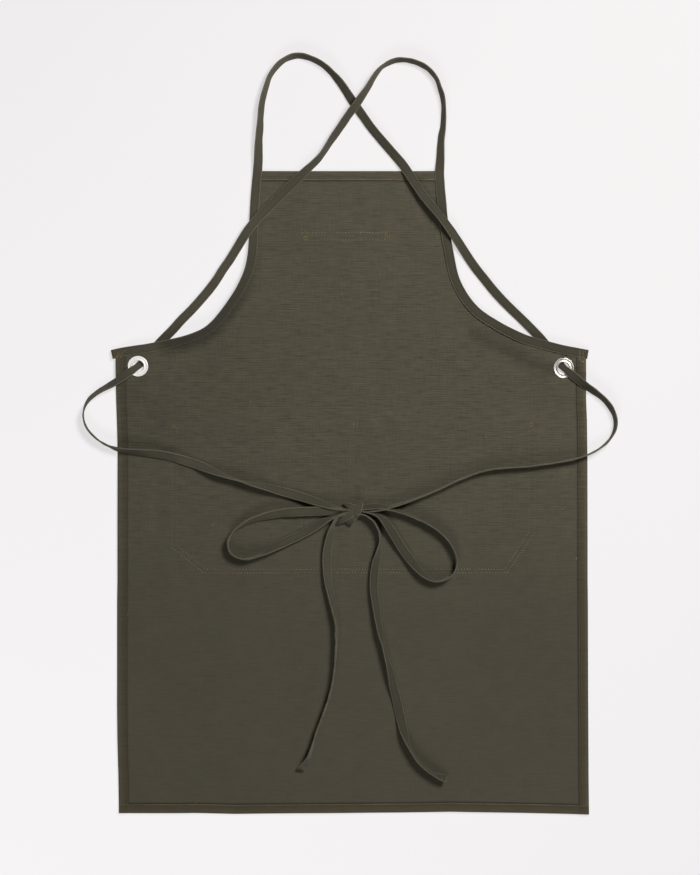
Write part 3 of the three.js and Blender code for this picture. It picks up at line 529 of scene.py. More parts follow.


# Tape section: share of the half width, share of a leg's thickness, side of the slit between the legs, shade. The
# shade makes the folded edges lighter, from wear and a painted highlight, paints shade into the groove by the
# stitches and into the slit, and leaves the face a little darker
UPPER_SECTION = [
    (0.985, 0.12, 1, 0.9), (1.0, 0.55, 1, 1.2), (0.965, 0.93, 1, 1.3), (0.86, 1.03, 1, 0.9),
    (0.77, 0.84, 1, -0.85), (0.66, 1.0, 1, -0.5), (0.4, 1.05, 1, -0.28), (0.0, 1.05, 1, -0.26),
    (-0.4, 1.05, 1, -0.28), (-0.68, 1.03, 1, -0.45), (-0.78, 1.0, 1, -0.55), (-0.86, 0.97, 1, 0.7),
    (-0.94, 0.84, 1, 1.2), (-0.985, 0.45, 1, 1.1),
]
SLIT_SECTION = [
    (0.96, 0, -1, -0.6), (0.3, 0, -1, -0.6), (-0.5, 0, -1, -0.6), (-0.86, 0, 0, -0.6), (-0.5, 0, 1, -0.6),
    (0.3, 0, 1, -0.6), (0.96, 0, 1, -0.6),
]
SECTION = np.array(
    UPPER_SECTION + [(-1.0, 0, 0, 1.0)] + [(u, -a, -g, s) for u, a, g, s in reversed(UPPER_SECTION)]
    + SLIT_SECTION
)
STITCH_SHARE = 0.78


def tape_frames(centre, tilt):
    """Unit vectors along, across and through a tape at each of its rings."""
    run = unit(np.gradient(centre, axis=0))
    across = unit(np.stack([run[:, 1], -run[:, 0], np.zeros(len(run))], 1))
    up = np.cross(across, run)
    cos, sin = np.cos(tilt)[:, None], np.sin(tilt)[:, None]
    return run, across * cos + up * sin, up * cos - across * sin


class Tape:
    """A folded tape along a centre line; open_side is 1 where its open edges are on the right of its run."""

    def __init__(self, centre, tilt, width, gap, open_side):
        self.centre = centre
        self.tilt = tilt
        self.half = TAPE_HALF * width
        self.gap = gap
        self.open_side = open_side
        # Painted light and shade along the tape, and how strongly the section's light folds and painted groove
        # shade show
        self.shade = np.zeros(len(centre))
        self.wear_and_painted_light = np.ones(len(centre))
        self.run, self.wide, self.thick = tape_frames(centre, tilt)
        self.along = np.concatenate([[0], np.cumsum(np.linalg.norm(np.diff(centre, axis=0), axis=1))])

    def mesh(self):
        rings, points = len(self.centre), len(SECTION)
        u = SECTION[:, 0][None, :] * self.open_side * self.half[:, None]
        v = SECTION[:, 1][None, :] * LEG + SECTION[:, 2][None, :] * self.gap[:, None] / 2
        body = self.centre[:, None, :] + self.wide[:, None, :] * u[..., None]
        body = body + self.thick[:, None, :] * v[..., None]
        vertices = body.reshape(-1, 3)
        faces = []
        for ring in range(rings - 1):
            base = ring * points
            for point in range(points):
                follow = (point + 1) % points
                quad = (base + point, base + point + points, base + follow + points, base + follow)
                faces.append(quad if self.open_side > 0 else quad[::-1])
        ends = len(vertices)
        vertices = np.vstack([vertices, body[0].mean(0), body[-1].mean(0)])
        last = (rings - 1) * points
        for point in range(points):
            follow = (point + 1) % points
            first = (ends, point, follow)
            final = (ends + 1, last + follow, last + point)
            faces.append(first if self.open_side > 0 else first[::-1])
            faces.append(final if self.open_side > 0 else final[::-1])
        open_edge = np.clip((SECTION[:, 0] - 0.55) / 0.35, 0, 1)
        tone = np.zeros((rings, points, 4))
        tone[..., 0] = open_edge
        # The section's folds are lighter from wear and a painted highlight, its groove and slit carry painted
        # shade, and the shade along the tape adds more painted light and shade
        tone[..., 1] = 0.5 + 0.5 * (SECTION[:, 3] * self.wear_and_painted_light[:, None] + self.shade[:, None])
        tone[..., 2] = (self.along / 1000)[:, None]
        tone[..., 3] = 1
        tone = np.vstack([tone.reshape(-1, 4), [[1, 0.6, 0, 1]] * 2])
        return vertices, faces, tone

    def stitches(self, pitch, start):
        """Places, directions and outward normals of the stitches on both faces."""
        at = np.arange(start + pitch / 2, self.along[-1], pitch)
        at = at + chance.uniform(-0.12, 0.12, len(at)) * pitch

        def mix(values):
            return np.stack([np.interp(at, self.along, values[:, k]) for k in range(3)], 1)

        centre = mix(self.centre)
        run, wide, thick = [unit(mix(values)) for values in (self.run, self.wide, self.thick)]
        half = np.interp(at, self.along, self.half)[:, None]
        rise = np.interp(at, self.along, LEG * 0.86 + self.gap / 2)[:, None]
        middle = centre + wide * half * STITCH_SHARE * self.open_side
        places = np.vstack([middle + thick * rise, middle - thick * rise])
        return places, np.vstack([run, run]), np.vstack([thick, -thick])


def tape_reach(half, tilt):
    """Half of a tilted tape's breadth in plan, and half of its height."""
    cos, sin = np.abs(np.cos(tilt)), np.abs(np.sin(tilt))
    return half * cos + HALF_THICK * sin, half * sin + HALF_THICK * cos


def lay(plan, tilt, width, on_floor, over=()):
    """Height of a tape's middle along its route: it rests on what is under it and rises and falls gently."""
    half_span, half_rise = tape_reach(TAPE_HALF * width, tilt)
    side = to_the_right(plan)
    low = np.zeros(len(plan))
    for share in (-1, -0.5, 0, 0.5, 1):
        at = plan + side * (half_span * share)[:, None]
        low = np.maximum(low, np.where(on_floor, 0.0, surface_under(at[:, 0], at[:, 1])))
        for other in over:
            apart = at[:, None, :] - other.centre[None, :, :2]
            reach = np.hypot(apart[..., 0], apart[..., 1])
            span, rise = tape_reach(other.half, other.tilt)
            high = np.where(reach < span[None, :] + 1.5, (other.centre[:, 2] + rise)[None, :] + 0.25, 0)
            low = np.maximum(low, np.where(on_floor & (at[:, 1] < BIB_Y), 0, high.max(1)))
    step = np.hypot(*np.diff(plan, axis=0).T).mean()
    along = np.arange(len(plan)) * step
    fall = 0.34
    low = np.max(low[None, :] - fall * np.abs(along[:, None] - along[None, :]), axis=1)
    low = smoothed(low, 10)
    return low + half_rise


def slope_across(line):
    """Angle at which the cloth's underside rises to the right of a plan line."""
    one, two = shifted(line, 4), shifted(line, -4)
    return np.arctan((underside(one[:, 0], one[:, 1]) - underside(two[:, 0], two[:, 1])) / 8)


# Painted shade on the faces of the long tapes, darker towards the right: x in millimetres, shade
FACE_SHADE = np.array([(-150, 0), (-60, -0.2), (0, -0.26), (80, -0.32), (220, -0.4)])

# Where the right binding's upper leg stands off the cloth: y along the bib or x along the wing, millimetres
GAPE_BIB = np.array([(300, 0.3), (330, 0.9), (430, 0.9), (446, 0)])
GAPE_WING = np.array([(150, 0.5), (180, 1.2), (236, 1.2), (250, 0.5), (300, 0.5), (330, 0)])


def make_band(side):
    """One tape from its wing tip round the armhole, over the neck and under the far wing to its tie's end."""
    edge = EDGE[side]
    inward = TOWARDS_CLOTH[side]
    middle = shifted(edge[:, :2], inward * TAPE_HALF)
    leaning = np.cos(smoothed(slope_across(middle), 8))
    middle = edge[:, :2] + (middle - edge[:, :2]) * leaning[:, None]
    bound = np.column_stack([middle, np.zeros(len(middle)), np.ones(len(middle)), np.zeros(len(middle))])
    far = FAR_SIDE[side]
    hole = GROMMETS[far]
    neck = NECK[side]
    tie = spots(TIE_RIGHT if side == "left" else TIE_LEFT)
    into = hole - neck[-1, :2]
    into = into / np.hypot(*into)
    out = tie[0, :2] - hole
    out = out / np.hypot(*out)
    through = [
        (*(hole - into * 12), 0, 0.94, 0), (*(hole - into * PASSAGE_REACH), 0, 0.78, 0),
        (*(hole + out * PASSAGE_REACH * 0.7), 0, 0.72, 0),
    ]
    plan = np.vstack([bound[::3], neck, through, tie])
    rows = centripetal(plan, 2.5)
    count = len(rows)
    xy, tilt, width = rows[:, :2], np.radians(smoothed(rows[:, 2], 3)), rows[:, 3]
    xy = np.stack([smoothed(xy[:, 0], 1), smoothed(xy[:, 1], 1)], 1)
    run_length = length_along(xy)

    def nearest(point):
        return int(np.argmin(np.hypot(xy[:, 0] - point[0], xy[:, 1] - point[1])))

    corner = nearest(middle[-1])
    at_hole = nearest(hole)
    index = np.arange(count)
    bound_part = index <= corner
    floor_part = (xy[:, 1] < ON_FLOOR_BELOW) & ~bound_part & (index <= at_hole)
    over = [bands["left"]] if side == "right" else []
    middle_height = lay(xy, tilt, width, floor_part, over) + smoothed(rows[:, 4], 4)
    middle_height = np.where(bound_part, underside(xy[:, 0], xy[:, 1]) + MID_CLOTH, middle_height)
    flange_top = float(underside(hole[0], hole[1])) + CLOTH + FLANGE + GAP
    from_hole = run_length - run_length[at_hole]
    # Up through the grommet: distance along from the middle of the hole, and height
    rise = np.array([
        (-24, 1.2), (-12, 1.25), (-5.5, 1.9), (0, 0.5 * flange_top + 0.6), (5, flange_top + 0.6),
        (10, flange_top + 1.7), (16, flange_top + 2.4),
    ])
    close = (from_hole > rise[0, 0]) & (from_hole < rise[-1, 0])
    path = looked_up(from_hole, rise)
    passing = np.where(from_hole > 6, np.maximum(path, middle_height), path)
    middle_height = np.where(close, passing, middle_height)
    joint = np.clip(1 - np.abs(index - corner) / 8, 0, 1)
    middle_height = middle_height * (1 - joint) + smoothed(middle_height, 30) * joint
    middle_height = smoothed(middle_height, 2)
    # The cloth's slope across the binding tilts it
    tilt = np.where(bound_part, smoothed(slope_across(xy), 6), tilt)
    gap = smoothed(np.where(bound_part, 2 * MID_CLOTH, TAPE_SLIT), 12)
    if side == "right":
        gape = np.where(xy[:, 1] > 300, looked_up(xy[:, 1], GAPE_BIB), looked_up(xy[:, 0], GAPE_WING))
        gape = smoothed(np.where(bound_part, gape, 0), 6)
        gap = gap + gape
        middle_height = middle_height + gape / 2
    wobble = 0.05 * small_swell(xy[:, 0] * 1.7, xy[:, 1] * 1.7)
    tilt = tilt + wobble * np.where(bound_part, 0.2, 1)
    centre = np.column_stack([xy, middle_height])
    band = Tape(centre, tilt, width, gap, inward)
    band.shade = looked_up(xy[:, 0], FACE_SHADE)
    # Painted light where the right band runs down the right side of the neck loop
    if side == "right":
        band.shade = band.shade + 0.55 * hump(xy[:, 1], 505, 55) * ease((xy[:, 0] - 90) / 20)
    if side == "left":
        away, along = nearest_on(xy[:, 0], xy[:, 1], EDGE_COARSE["left"])
        rolled = smoothed(np.where(bound_part & (away < 2 * TAPE_HALF), roll_share(along), 0), 3)
        # Painted shade on the rolled-up part of the left binding, whose light folds and groove are flattened
        # there
        band.shade = band.shade - 0.9 * rolled
        band.wear_and_painted_light = 1 - 0.75 * rolled
    return band


def make_tape(rows_px, open_side):
    """One loop or tail of the bow, from its table."""
    rows = centripetal(spots(rows_px), 2.2)
    xy = np.stack([smoothed(rows[:, 0], 2), smoothed(rows[:, 1], 2)], 1)
    tilt = np.radians(smoothed(rows[:, 2], 3))
    width = rows[:, 3]
    height = lay(xy, tilt, width, np.zeros(len(xy), bool))
    height = height + smoothed(rows[:, 4], 4)
    tilt = tilt + 0.06 * small_swell(xy[:, 0] * 1.9, xy[:, 1] * 1.9)
    return Tape(np.column_stack([xy, height]), tilt, width, np.full(len(xy), TAPE_SLIT), open_side)


# Stitches: a short thread, thicker in the middle, whose ends dip into the cloth
CAPSULE_SIDES = 5
CAPSULE_ROWS = [(-0.62, 0.8, -0.02), (0.0, 1.0, 0.1), (0.62, 0.8, -0.02)]


def thread_mesh(places, runs, normals, length, radius):
    """Vertices and faces of many stitches at once; length and radius may be arrays."""
    count = len(places)
    runs = unit(runs)
    normals = unit(normals - runs * np.sum(runs * normals, 1, keepdims=True))
    sides = np.cross(runs, normals)
    length = np.broadcast_to(np.asarray(length, float), (count,))[:, None]
    radius = np.broadcast_to(np.asarray(radius, float), (count,))[:, None]
    rows = [places - runs * length / 2 - normals * radius * 1.1]
    for share, thick, lift in CAPSULE_ROWS:
        for corner in range(CAPSULE_SIDES):
            angle = 2 * math.pi * corner / CAPSULE_SIDES
            rows.append(
                places + runs * length / 2 * share + normals * radius * (lift + thick * math.sin(angle))
                + sides * radius * thick * math.cos(angle)
            )
    rows.append(places + runs * length / 2 - normals * radius * 1.1)
    vertices = np.stack(rows, 1).reshape(-1, 3)
    n = CAPSULE_SIDES
    template = []
    for corner in range(n):
        follow = (corner + 1) % n
        template.append((0, 1 + corner, 1 + follow))
        for row in range(len(CAPSULE_ROWS) - 1):
            a, b = 1 + row * n, 1 + (row + 1) * n
            template.append((a + corner, b + corner, b + follow))
            template.append((a + corner, b + follow, a + follow))
        last = 1 + (len(CAPSULE_ROWS) - 1) * n
        template.append((last + corner, last + n, last + follow))
    template = np.array(template)
    each = 2 + n * len(CAPSULE_ROWS)
    faces = (template[None] + (np.arange(count) * each)[:, None, None]).reshape(-1, 3)
    return vertices, faces.tolist()


def upright(count):
    """Normals that point straight up."""
    return np.tile([0.0, 0.0, 1.0], (count, 1))


def joined(parts):
    """The vertices and faces of several parts as one."""
    vertices, faces, base = [], [], 0
    for some, more in parts:
        vertices.append(some)
        faces += [tuple(base + corner for corner in face) for face in more]
        base += len(some)
    return np.vstack(vertices), faces


def on_cloth(rows, pitch):
    """Places along a line of the straight cut, a stitch apart, and the cloth's normals there."""
    rows = np.asarray(rows, float)
    run_length = length_along(rows)
    at = np.arange(pitch / 2, run_length[-1], pitch)
    at = at + chance.uniform(-0.1, 0.1, len(at)) * pitch

    def spot(where):
        return np.interp(where, run_length, rows[:, 0]), np.interp(where, run_length, rows[:, 1])

    (x, y), (x1, y1), (x2, y2) = spot(at), spot(at - 0.5), spot(at + 0.5)
    z = cloth_top(x, y)
    real_x, real_y = laid_out(x, y)
    run = unit(np.column_stack([x2 - x1, y2 - y1, cloth_top(x2, y2) - cloth_top(x1, y1)]))
    return np.column_stack([real_x, real_y, z + 0.02]), run, upright(len(x))


def under_cloth(rows, pitch, height):
    """The same for stitches that show underneath; the height gives the lower face."""
    places, run, normal = on_cloth(rows, pitch)
    places[:, 2] = height(places[:, 0], places[:, 1]) - 0.02
    return places, run, -normal


# Materials
class Nodes:
    """Short calls for a material's node tree."""

    def __init__(self, name):
        self.material = bpy.data.materials.new(name)
        self.material.use_nodes = True
        self.tree = self.material.node_tree
        self.tree.nodes.clear()
        self.output = self.tree.nodes.new("ShaderNodeOutputMaterial")

    def node(self, kind, values=None, **settings):
        made = self.tree.nodes.new(kind)
        for key, value in settings.items():
            setattr(made, key, value)
        for key, value in (values or {}).items():
            if isinstance(value, bpy.types.NodeSocket):
                self.tree.links.new(value, made.inputs[key])
            else:
                made.inputs[key].default_value = value
        return made

    def math(self, operation, a, b=0.0, c=0.0):
        return self.node("ShaderNodeMath", {0: a, 1: b, 2: c}, operation=operation).outputs[0]

    def mix(self, share, a, b):
        made = self.node("ShaderNodeMix", data_type="RGBA")
        for key, value in ((0, share), (6, a), (7, b)):
            if isinstance(value, bpy.types.NodeSocket):
                self.tree.links.new(value, made.inputs[key])
            else:
                made.inputs[key].default_value = value
        return made.outputs[2]

    def noise(self, vector, scale, detail=2.0, rough=0.5):
        values = {"Scale": scale, "Detail": detail, "Roughness": rough, "Vector": vector}
        return self.node("ShaderNodeTexNoise", values).outputs["Fac"]

    def stretched(self, vector, scale):
        return self.node("ShaderNodeMapping", {"Vector": vector, "Scale": scale}).outputs[0]

    def varied(self, value, pattern, depth):
        """A value that a pattern around one half makes larger or smaller."""
        return self.math("MULTIPLY_ADD", self.math("SUBTRACT", pattern, 0.5), depth, value)

    def beat(self, along, pitch, wander):
        """A wave of a pitch along a direction, whose phase wanders."""
        turns = self.math("MULTIPLY", along, 2 * math.pi / pitch)
        return self.math("SINE", self.math("MULTIPLY_ADD", wander, 5.0, turns))

    def scaled(self, colour, value):
        return self.node("ShaderNodeVectorMath", {0: colour, "Scale": value}, operation="SCALE").outputs[0]

    def bump(self, height, strength, distance):
        values = {"Strength": strength, "Distance": distance, "Height": height}
        return self.node("ShaderNodeBump", values).outputs[0]

    def tones(self):
        """The vertices' tone: browning, painted light and shade, and strength of the weave or place along the
        tape.
        """
        tone = self.node("ShaderNodeAttribute", attribute_name="tone").outputs["Color"]
        return self.node("ShaderNodeSeparateColor", {0: tone}).outputs

    def finish(self, shader):
        self.tree.links.new(shader, self.output.inputs["Surface"])
        return self.material


def weave_height(n, x, y, pitch_x, pitch_y):
    """Height of a plain weave of round threads, 0 to 1."""
    warp = n.math("SINE", n.math("MULTIPLY", x, math.pi / pitch_x))
    weft = n.math("SINE", n.math("MULTIPLY", y, math.pi / pitch_y))
    over = n.math("MULTIPLY", warp, weft)
    half_over = n.math("MULTIPLY", over, 0.5)
    upright = n.math("MULTIPLY_ADD", n.math("ABSOLUTE", warp), 0.5, half_over)
    level = n.math("SUBTRACT", n.math("MULTIPLY", n.math("ABSOLUTE", weft), 0.5), half_over)
    return n.math("MAXIMUM", upright, level)


def cloth_material(name, base, brown, pitch, weave_depth):
    """Cotton canvas: woven relief, slubs, streaks along the weft, fading, browner hems, and painted light and
    shade from the tone.
    """
    n = Nodes(name)
    place = n.node("ShaderNodeTexCoord").outputs["Object"]
    split = n.node("ShaderNodeSeparateXYZ", {0: place})
    tones = n.tones()
    wander = n.noise(place, 34.0, 2.0)
    x = n.math("MULTIPLY_ADD", wander, 0.0016, split.outputs[0])
    y = n.math("MULTIPLY_ADD", wander, 0.0014, split.outputs[1])
    weave = weave_height(n, x, y, pitch, pitch * 1.18)
    weft_streak = n.noise(n.stretched(place, (11, 420, 60)), 1.0, 2.0, 0.6)
    warp_streak = n.noise(n.stretched(place, (420, 9, 60)), 1.0, 2.0, 0.6)
    rib = n.noise(n.stretched(place, (48, 640, 60)), 1.0, 1.0, 0.5)
    column = n.noise(n.stretched(place, (640, 60, 60)), 1.0, 1.0, 0.5)
    beat = n.math("SUBTRACT", n.noise(n.stretched(place, (14, 9, 9)), 1.0, 1.0), 0.32)
    level_beat = n.beat(y, 0.0034, wander)
    upright_beat = n.beat(x, 0.0047, wander)
    yarn = n.noise(n.stretched(place, (900, 1100, 900)), 1.0, 1.0)
    cloud = n.noise(place, 9.0, 3.0, 0.55)
    patch = n.noise(place, 42.0, 3.0, 0.6)
    lines = 0.0
    for pattern, depth in ((weft_streak, 0.34), (warp_streak, 0.14), (rib, 0.85), (column, 0.34)):
        lines = n.varied(lines, pattern, depth)
    for pattern, depth in ((level_beat, 0.26), (upright_beat, 0.06)):
        lines = n.math("MULTIPLY_ADD", n.math("MULTIPLY", beat, pattern), depth, lines)
    value = n.math("MULTIPLY_ADD", lines, tones[2], 1.0)
    for pattern, depth in ((yarn, 0.22), (cloud, 0.16), (patch, 0.14)):
        value = n.varied(value, pattern, depth)
    value = n.math("MULTIPLY", value, n.math("MULTIPLY_ADD", weave, 0.22, 0.86))
    value = n.math("MULTIPLY", value, n.math("MULTIPLY_ADD", tones[1], 1.0, 0.5))
    hue = n.mix(n.math("MULTIPLY", tones[0], 0.85), (*base, 1), (*brown, 1))
    grey = n.mix(n.math("MULTIPLY", patch, 0.2), hue, (base[0] * 0.97, base[1] * 1.01, base[2] * 1.03, 1))
    colour = n.scaled(grey, value)
    relief = n.math("MULTIPLY_ADD", weft_streak, 0.35, weave)
    relief = n.math("MULTIPLY_ADD", yarn, 0.35, relief)
    relief = n.math("MULTIPLY_ADD", patch, 0.5, relief)
    bump = n.bump(relief, 0.8, weave_depth)
    rough = n.math("MULTIPLY_ADD", weave, -0.06, 0.96)
    shader = n.node("ShaderNodeBsdfPrincipled", {
        "Base Color": colour, "Roughness": rough, "Normal": bump, "Specular IOR Level": 0.18,
        "Sheen Weight": 0.12, "Sheen Roughness": 0.6, "Sheen Tint": (0.9, 0.86, 0.74, 1),
    }).outputs[0]
    return n.finish(shader)


def tape_material(name, base, brown):
    """Folded cotton tape: fine diagonal weave, brown thread along the open edges, folds lighter from wear and a
    painted highlight, and painted shade from the tone.
    """
    n = Nodes(name)
    place = n.node("ShaderNodeTexCoord").outputs["Object"]
    split = n.node("ShaderNodeSeparateXYZ", {0: place})
    tones = n.tones()
    weave = weave_height(n, split.outputs[0], split.outputs[1], 0.00062, 0.00074)
    ribs = n.math("SINE", n.math("MULTIPLY", tones[2], 2 * math.pi / 0.0026))
    yarn = n.noise(n.stretched(place, (1000, 1000, 1000)), 1.0, 2.0)
    cloud = n.noise(place, 30.0, 3.0, 0.6)
    fibre = n.noise(place, 420.0, 3.0, 0.65)
    value = 1.0
    for pattern, depth in ((cloud, 0.26), (yarn, 0.22), (fibre, 0.24)):
        value = n.varied(value, pattern, depth)
    value = n.math("MULTIPLY", value, n.math("MULTIPLY_ADD", ribs, 0.07, 1.0))
    value = n.math("MULTIPLY", value, n.math("MULTIPLY_ADD", tones[1], 1.0, 0.5))
    hue = n.mix(n.math("MULTIPLY", tones[0], 0.35), (*base, 1), (*brown, 1))
    colour = n.scaled(hue, value)
    relief = n.math("MULTIPLY_ADD", ribs, 0.25, n.math("MULTIPLY_ADD", yarn, 0.5, weave))
    relief = n.math("MULTIPLY_ADD", fibre, 0.5, relief)
    bump = n.bump(relief, 0.7, 0.00016)
    shader = n.node("ShaderNodeBsdfPrincipled", {
        "Base Color": colour, "Roughness": 0.93, "Normal": bump, "Specular IOR Level": 0.2,
        "Sheen Weight": 0.15, "Sheen Roughness": 0.55, "Sheen Tint": (0.9, 0.86, 0.74, 1),
    }).outputs[0]
    return n.finish(shader)


def thread_material(name, base):
    """Twisted cotton thread, lighter and darker from stitch to stitch."""
    n = Nodes(name)
    place = n.node("ShaderNodeTexCoord").outputs["Object"]
    change = n.noise(place, 260.0, 1.0)
    wide = n.noise(place, 18.0, 1.0)
    value = n.varied(n.varied(1.0, change, 1.8), wide, 1.4)
    value = n.math("MAXIMUM", value, 0.3)
    colour = n.scaled(base, value)
    twist = n.node("ShaderNodeTexWave", {"Vector": place, "Scale": 700.0}).outputs["Fac"]
    bump = n.bump(twist, 0.4, 0.00008)
    shader = n.node("ShaderNodeBsdfPrincipled", {
        "Base Color": colour, "Roughness": 0.8, "Normal": bump, "Specular IOR Level": 0.3,
    }).outputs[0]
    return n.finish(shader)


def nickel_material(name, base, worn, metallic):
    """Nickel plate with fine scratches and faint clouding."""
    n = Nodes(name)
    place = n.node("ShaderNodeTexCoord").outputs["Object"]
    fine = n.noise(n.stretched(place, (900, 900, 300)), 1.0, 4.0, 0.7)
    cloud = n.noise(place, 160.0, 2.0)
    rough = n.math("MULTIPLY_ADD", cloud, 0.16, 0.32)
    colour = n.mix(n.math("MULTIPLY", cloud, 0.5), (*base, 1), (*worn, 1))
    bump = n.bump(fine, 0.1, 0.00004)
    shader = n.node("ShaderNodeBsdfPrincipled", {
        "Base Color": colour, "Metallic": metallic, "Roughness": rough, "Normal": bump,
    }).outputs[0]
    return n.finish(shader)


def floor_material():
    """White paper sweep that stays bright, so that shadows on it are faint."""
    n = Nodes("floor")
    place = n.node("ShaderNodeTexCoord").outputs["Object"]
    grain = n.noise(place, 3.0, 2.0)
    colour = n.mix(grain, (0.80, 0.79, 0.795, 1), (0.82, 0.81, 0.815, 1))
    diffuse = n.node("ShaderNodeBsdfDiffuse", {"Color": colour}).outputs[0]
    split = n.node("ShaderNodeSeparateXYZ", {0: place})
    even = n.math("MULTIPLY_ADD", split.outputs[1], -0.15, 1.0)
    even = n.math("MULTIPLY_ADD", split.outputs[0], -0.145, even)
    even = n.math("MINIMUM", n.math("MAXIMUM", even, 0.6), 1.25)
    glow = n.node("ShaderNodeEmission", {"Color": (0.972, 0.956, 0.966, 1), "Strength": even}).outputs[0]
    both = n.node("ShaderNodeMixShader", {0: 0.63, 1: diffuse, 2: glow}).outputs[0]
    return n.finish(both)


CANVAS = (0.0745, 0.0668, 0.0465)
CANVAS_BROWN = (0.0675, 0.0550, 0.0305)
canvas = cloth_material("canvas", CANVAS, CANVAS_BROWN, 0.00082, 0.00014)
tape_cloth = tape_material("tape", (0.0725, 0.0655, 0.046), (0.074, 0.062, 0.040))
thread = thread_material("thread", (0.27, 0.225, 0.14))
hem_thread = thread_material("hem_thread", (0.088, 0.066, 0.036))
faint_thread = thread_material("faint_thread", (0.155, 0.126, 0.075))
tack_thread = thread_material("tack_thread", (0.20, 0.148, 0.058))
tape_thread = thread_material("tape_thread", (0.15, 0.125, 0.08))
# The barrel is dark brown as painted shade in the hole; the left ring is near-white as painted light and
# reflection, the right ring darker as painted shade
SHADED_BARREL = nickel_material("nickel_barrel_painted_shade", (0.16, 0.12, 0.10), (0.10, 0.075, 0.06), 0.5)
NICKEL_LIT_AND_SHADED = {
    "left": nickel_material("nickel_painted_light_left", (0.98, 0.96, 0.94), (0.92, 0.87, 0.84), 0.15),
    "right": nickel_material("nickel_painted_shade_right", (0.66, 0.60, 0.57), (0.42, 0.35, 0.32), 0.85),
}

# The apron's panel: a fine grid inside the outline, closer at the hems
EDGE_STEPS = np.array([
    0.0, 0.25, 0.6, 1.1, 2.0, 3.6, 5.6, 7.6, 9.4, 10.8, 11.6, 12.2, 12.8, 13.4, 13.8, 14.2, 14.8, 16.5, 19.5,
])
GRID = 4.5
RIM_RADIUS = 9.3
RIM_CLEAR = 10.5


def grid_lines(low, high):
    """Grid lines between two edges, closer together near both."""
    inner_low, inner_high = low + EDGE_STEPS[-1], high - EDGE_STEPS[-1]
    count = int(round((inner_high - inner_low) / GRID))
    middle = np.linspace(inner_low, inner_high, count + 1)[1:-1]
    return np.concatenate([low + EDGE_STEPS, middle, (high - EDGE_STEPS)[::-1]])


# Painted shade in soft dark places on the cloth, such as a crease's valley and the spot above the knot: pixels
# along each, depth of the shade and half width in millimetres
SHADED = [
    ([(474, 333), (503, 350), (528, 362), (550, 370)], 0.52, 10), ([(357, 488), (357.5, 499)], 0.3, 4),
    ([(448, 210), (452, 236), (458, 262)], 0.25, 6),
]


def triangulated(points, loops, outline, holes=()):
    """Flat points and the triangles between them, facing up, inside an outline and outside round holes.

    The points start with closed loops of the given lengths, whose edges are kept.
    """
    edges, base = [], 0
    for count in loops:
        edges += [(base + k, base + (k + 1) % count) for k in range(count)]
        base += count
    found = delaunay_2d_cdt([Vector(p) for p in points.tolist()], edges, [], 0, 1e-5)
    flat = np.array([tuple(p) for p in found[0]])
    triangles = np.array([face for face in found[2]], int)
    middle = flat[triangles].mean(1)
    good = inside(middle[:, 0], middle[:, 1], outline)
    for centre in holes:
        good &= np.hypot(middle[:, 0] - centre[0], middle[:, 1] - centre[1]) > 9.0
    triangles = triangles[good]
    a, b, c = flat[triangles[:, 0]], flat[triangles[:, 1]], flat[triangles[:, 2]]
    turn = (b[:, 0] - a[:, 0]) * (c[:, 1] - a[:, 1]) - (b[:, 1] - a[:, 1]) * (c[:, 0] - a[:, 0])
    return flat, np.where((turn > 0)[:, None], triangles, triangles[:, ::-1])


def two_sided(triangles, total):
    """Faces of a sheet whose lower points follow its upper ones: top, underside and the walls at its edges."""
    open_edges = {}
    for tri in triangles.tolist():
        for k in range(3):
            pair = (tri[k], tri[(k + 1) % 3])
            if pair[::-1] in open_edges:
                del open_edges[pair[::-1]]
            else:
                open_edges[pair] = True
    faces = triangles.tolist() + (triangles[:, ::-1] + total).tolist()
    return faces + [(q, p, p + total, q + total) for p, q in open_edges]


def cloth_tone(x, y):
    """Browning, painted light and shade, and strength of the weave at points of the straight cut."""
    real_x, real_y = laid_out(x, y)
    side, bottom, bib, nearest = hem_parts(x, y)
    # Brown stripes in the hems
    brown_left = ease((side - 5.8) / 1.4) * ease((12.6 - side) / 1.2)
    brown_right = ease((side - 3.6) / 1.4) * ease((12.4 - side) / 1.0)
    brown_bottom = ease((HEM_WIDTH - bottom) / 1.0) * 0.8
    brown_bib = ease((bib - 4.9) / 1.2) * ease((10.8 - bib) / 1.0) * 0.8
    brown = np.maximum(np.maximum(np.where(x > 0, brown_right, brown_left), brown_bottom), brown_bib)
    # Hems: a little darker inside, a painted highlight at the fold, and painted shade at the turned-in edge and
    # in the grooves beside the stitches
    in_hem = np.where(bib < HEM_WIDTH, -0.04, -0.16 * ease((nearest - 3) / 5))
    shade = np.where(nearest < HEM_WIDTH, in_hem, -0.03)
    shade = shade + 0.22 * hump(nearest, 1.6, 1.5) - 1.0 * hump(nearest, 13.8, 1.0)
    shade = shade - 0.3 * hump(side, 11.2, 0.9) - 0.4 * hump(bottom, 10.1, 0.8)
    # Painted shade under the rolled edge, and in soft dark places
    away, along = nearest_on(real_x, real_y, EDGE_COARSE["left"])
    shade = shade - 0.85 * roll_share(along) * ease((27 - away) / 15)
    for line, depth, width in SHADED:
        shade = shade - depth * hump(line_distance(real_x, real_y, spots(line)), 0, width)
    # Broad painted shade over the cloth, darker towards the bottom, at the upper left, the lower right and the
    # upper right
    shade = shade - 0.03 * ease((110 - real_y) / 260) - 0.08 * hump(real_y, -200, 140)
    shade = shade - 0.10 * ease((-100 - real_x) / 120) * ease((real_y + 20) / 120) * ease((300 - real_y) / 60)
    shade = shade - 0.10 * ease((real_x - 90) / 150) * ease((-40 - real_y) / 160) * ease((real_y + 400) / 120)
    shade = shade - 0.05 * ease((real_x - 60) / 200) * ease((real_y - 60) / 100)
    woven = 0.4 + 0.6 * ease((real_y + 230) / 300)
    return np.column_stack([brown, 0.5 + 0.5 * np.clip(shade, -1, 1), woven, np.ones(len(x))])


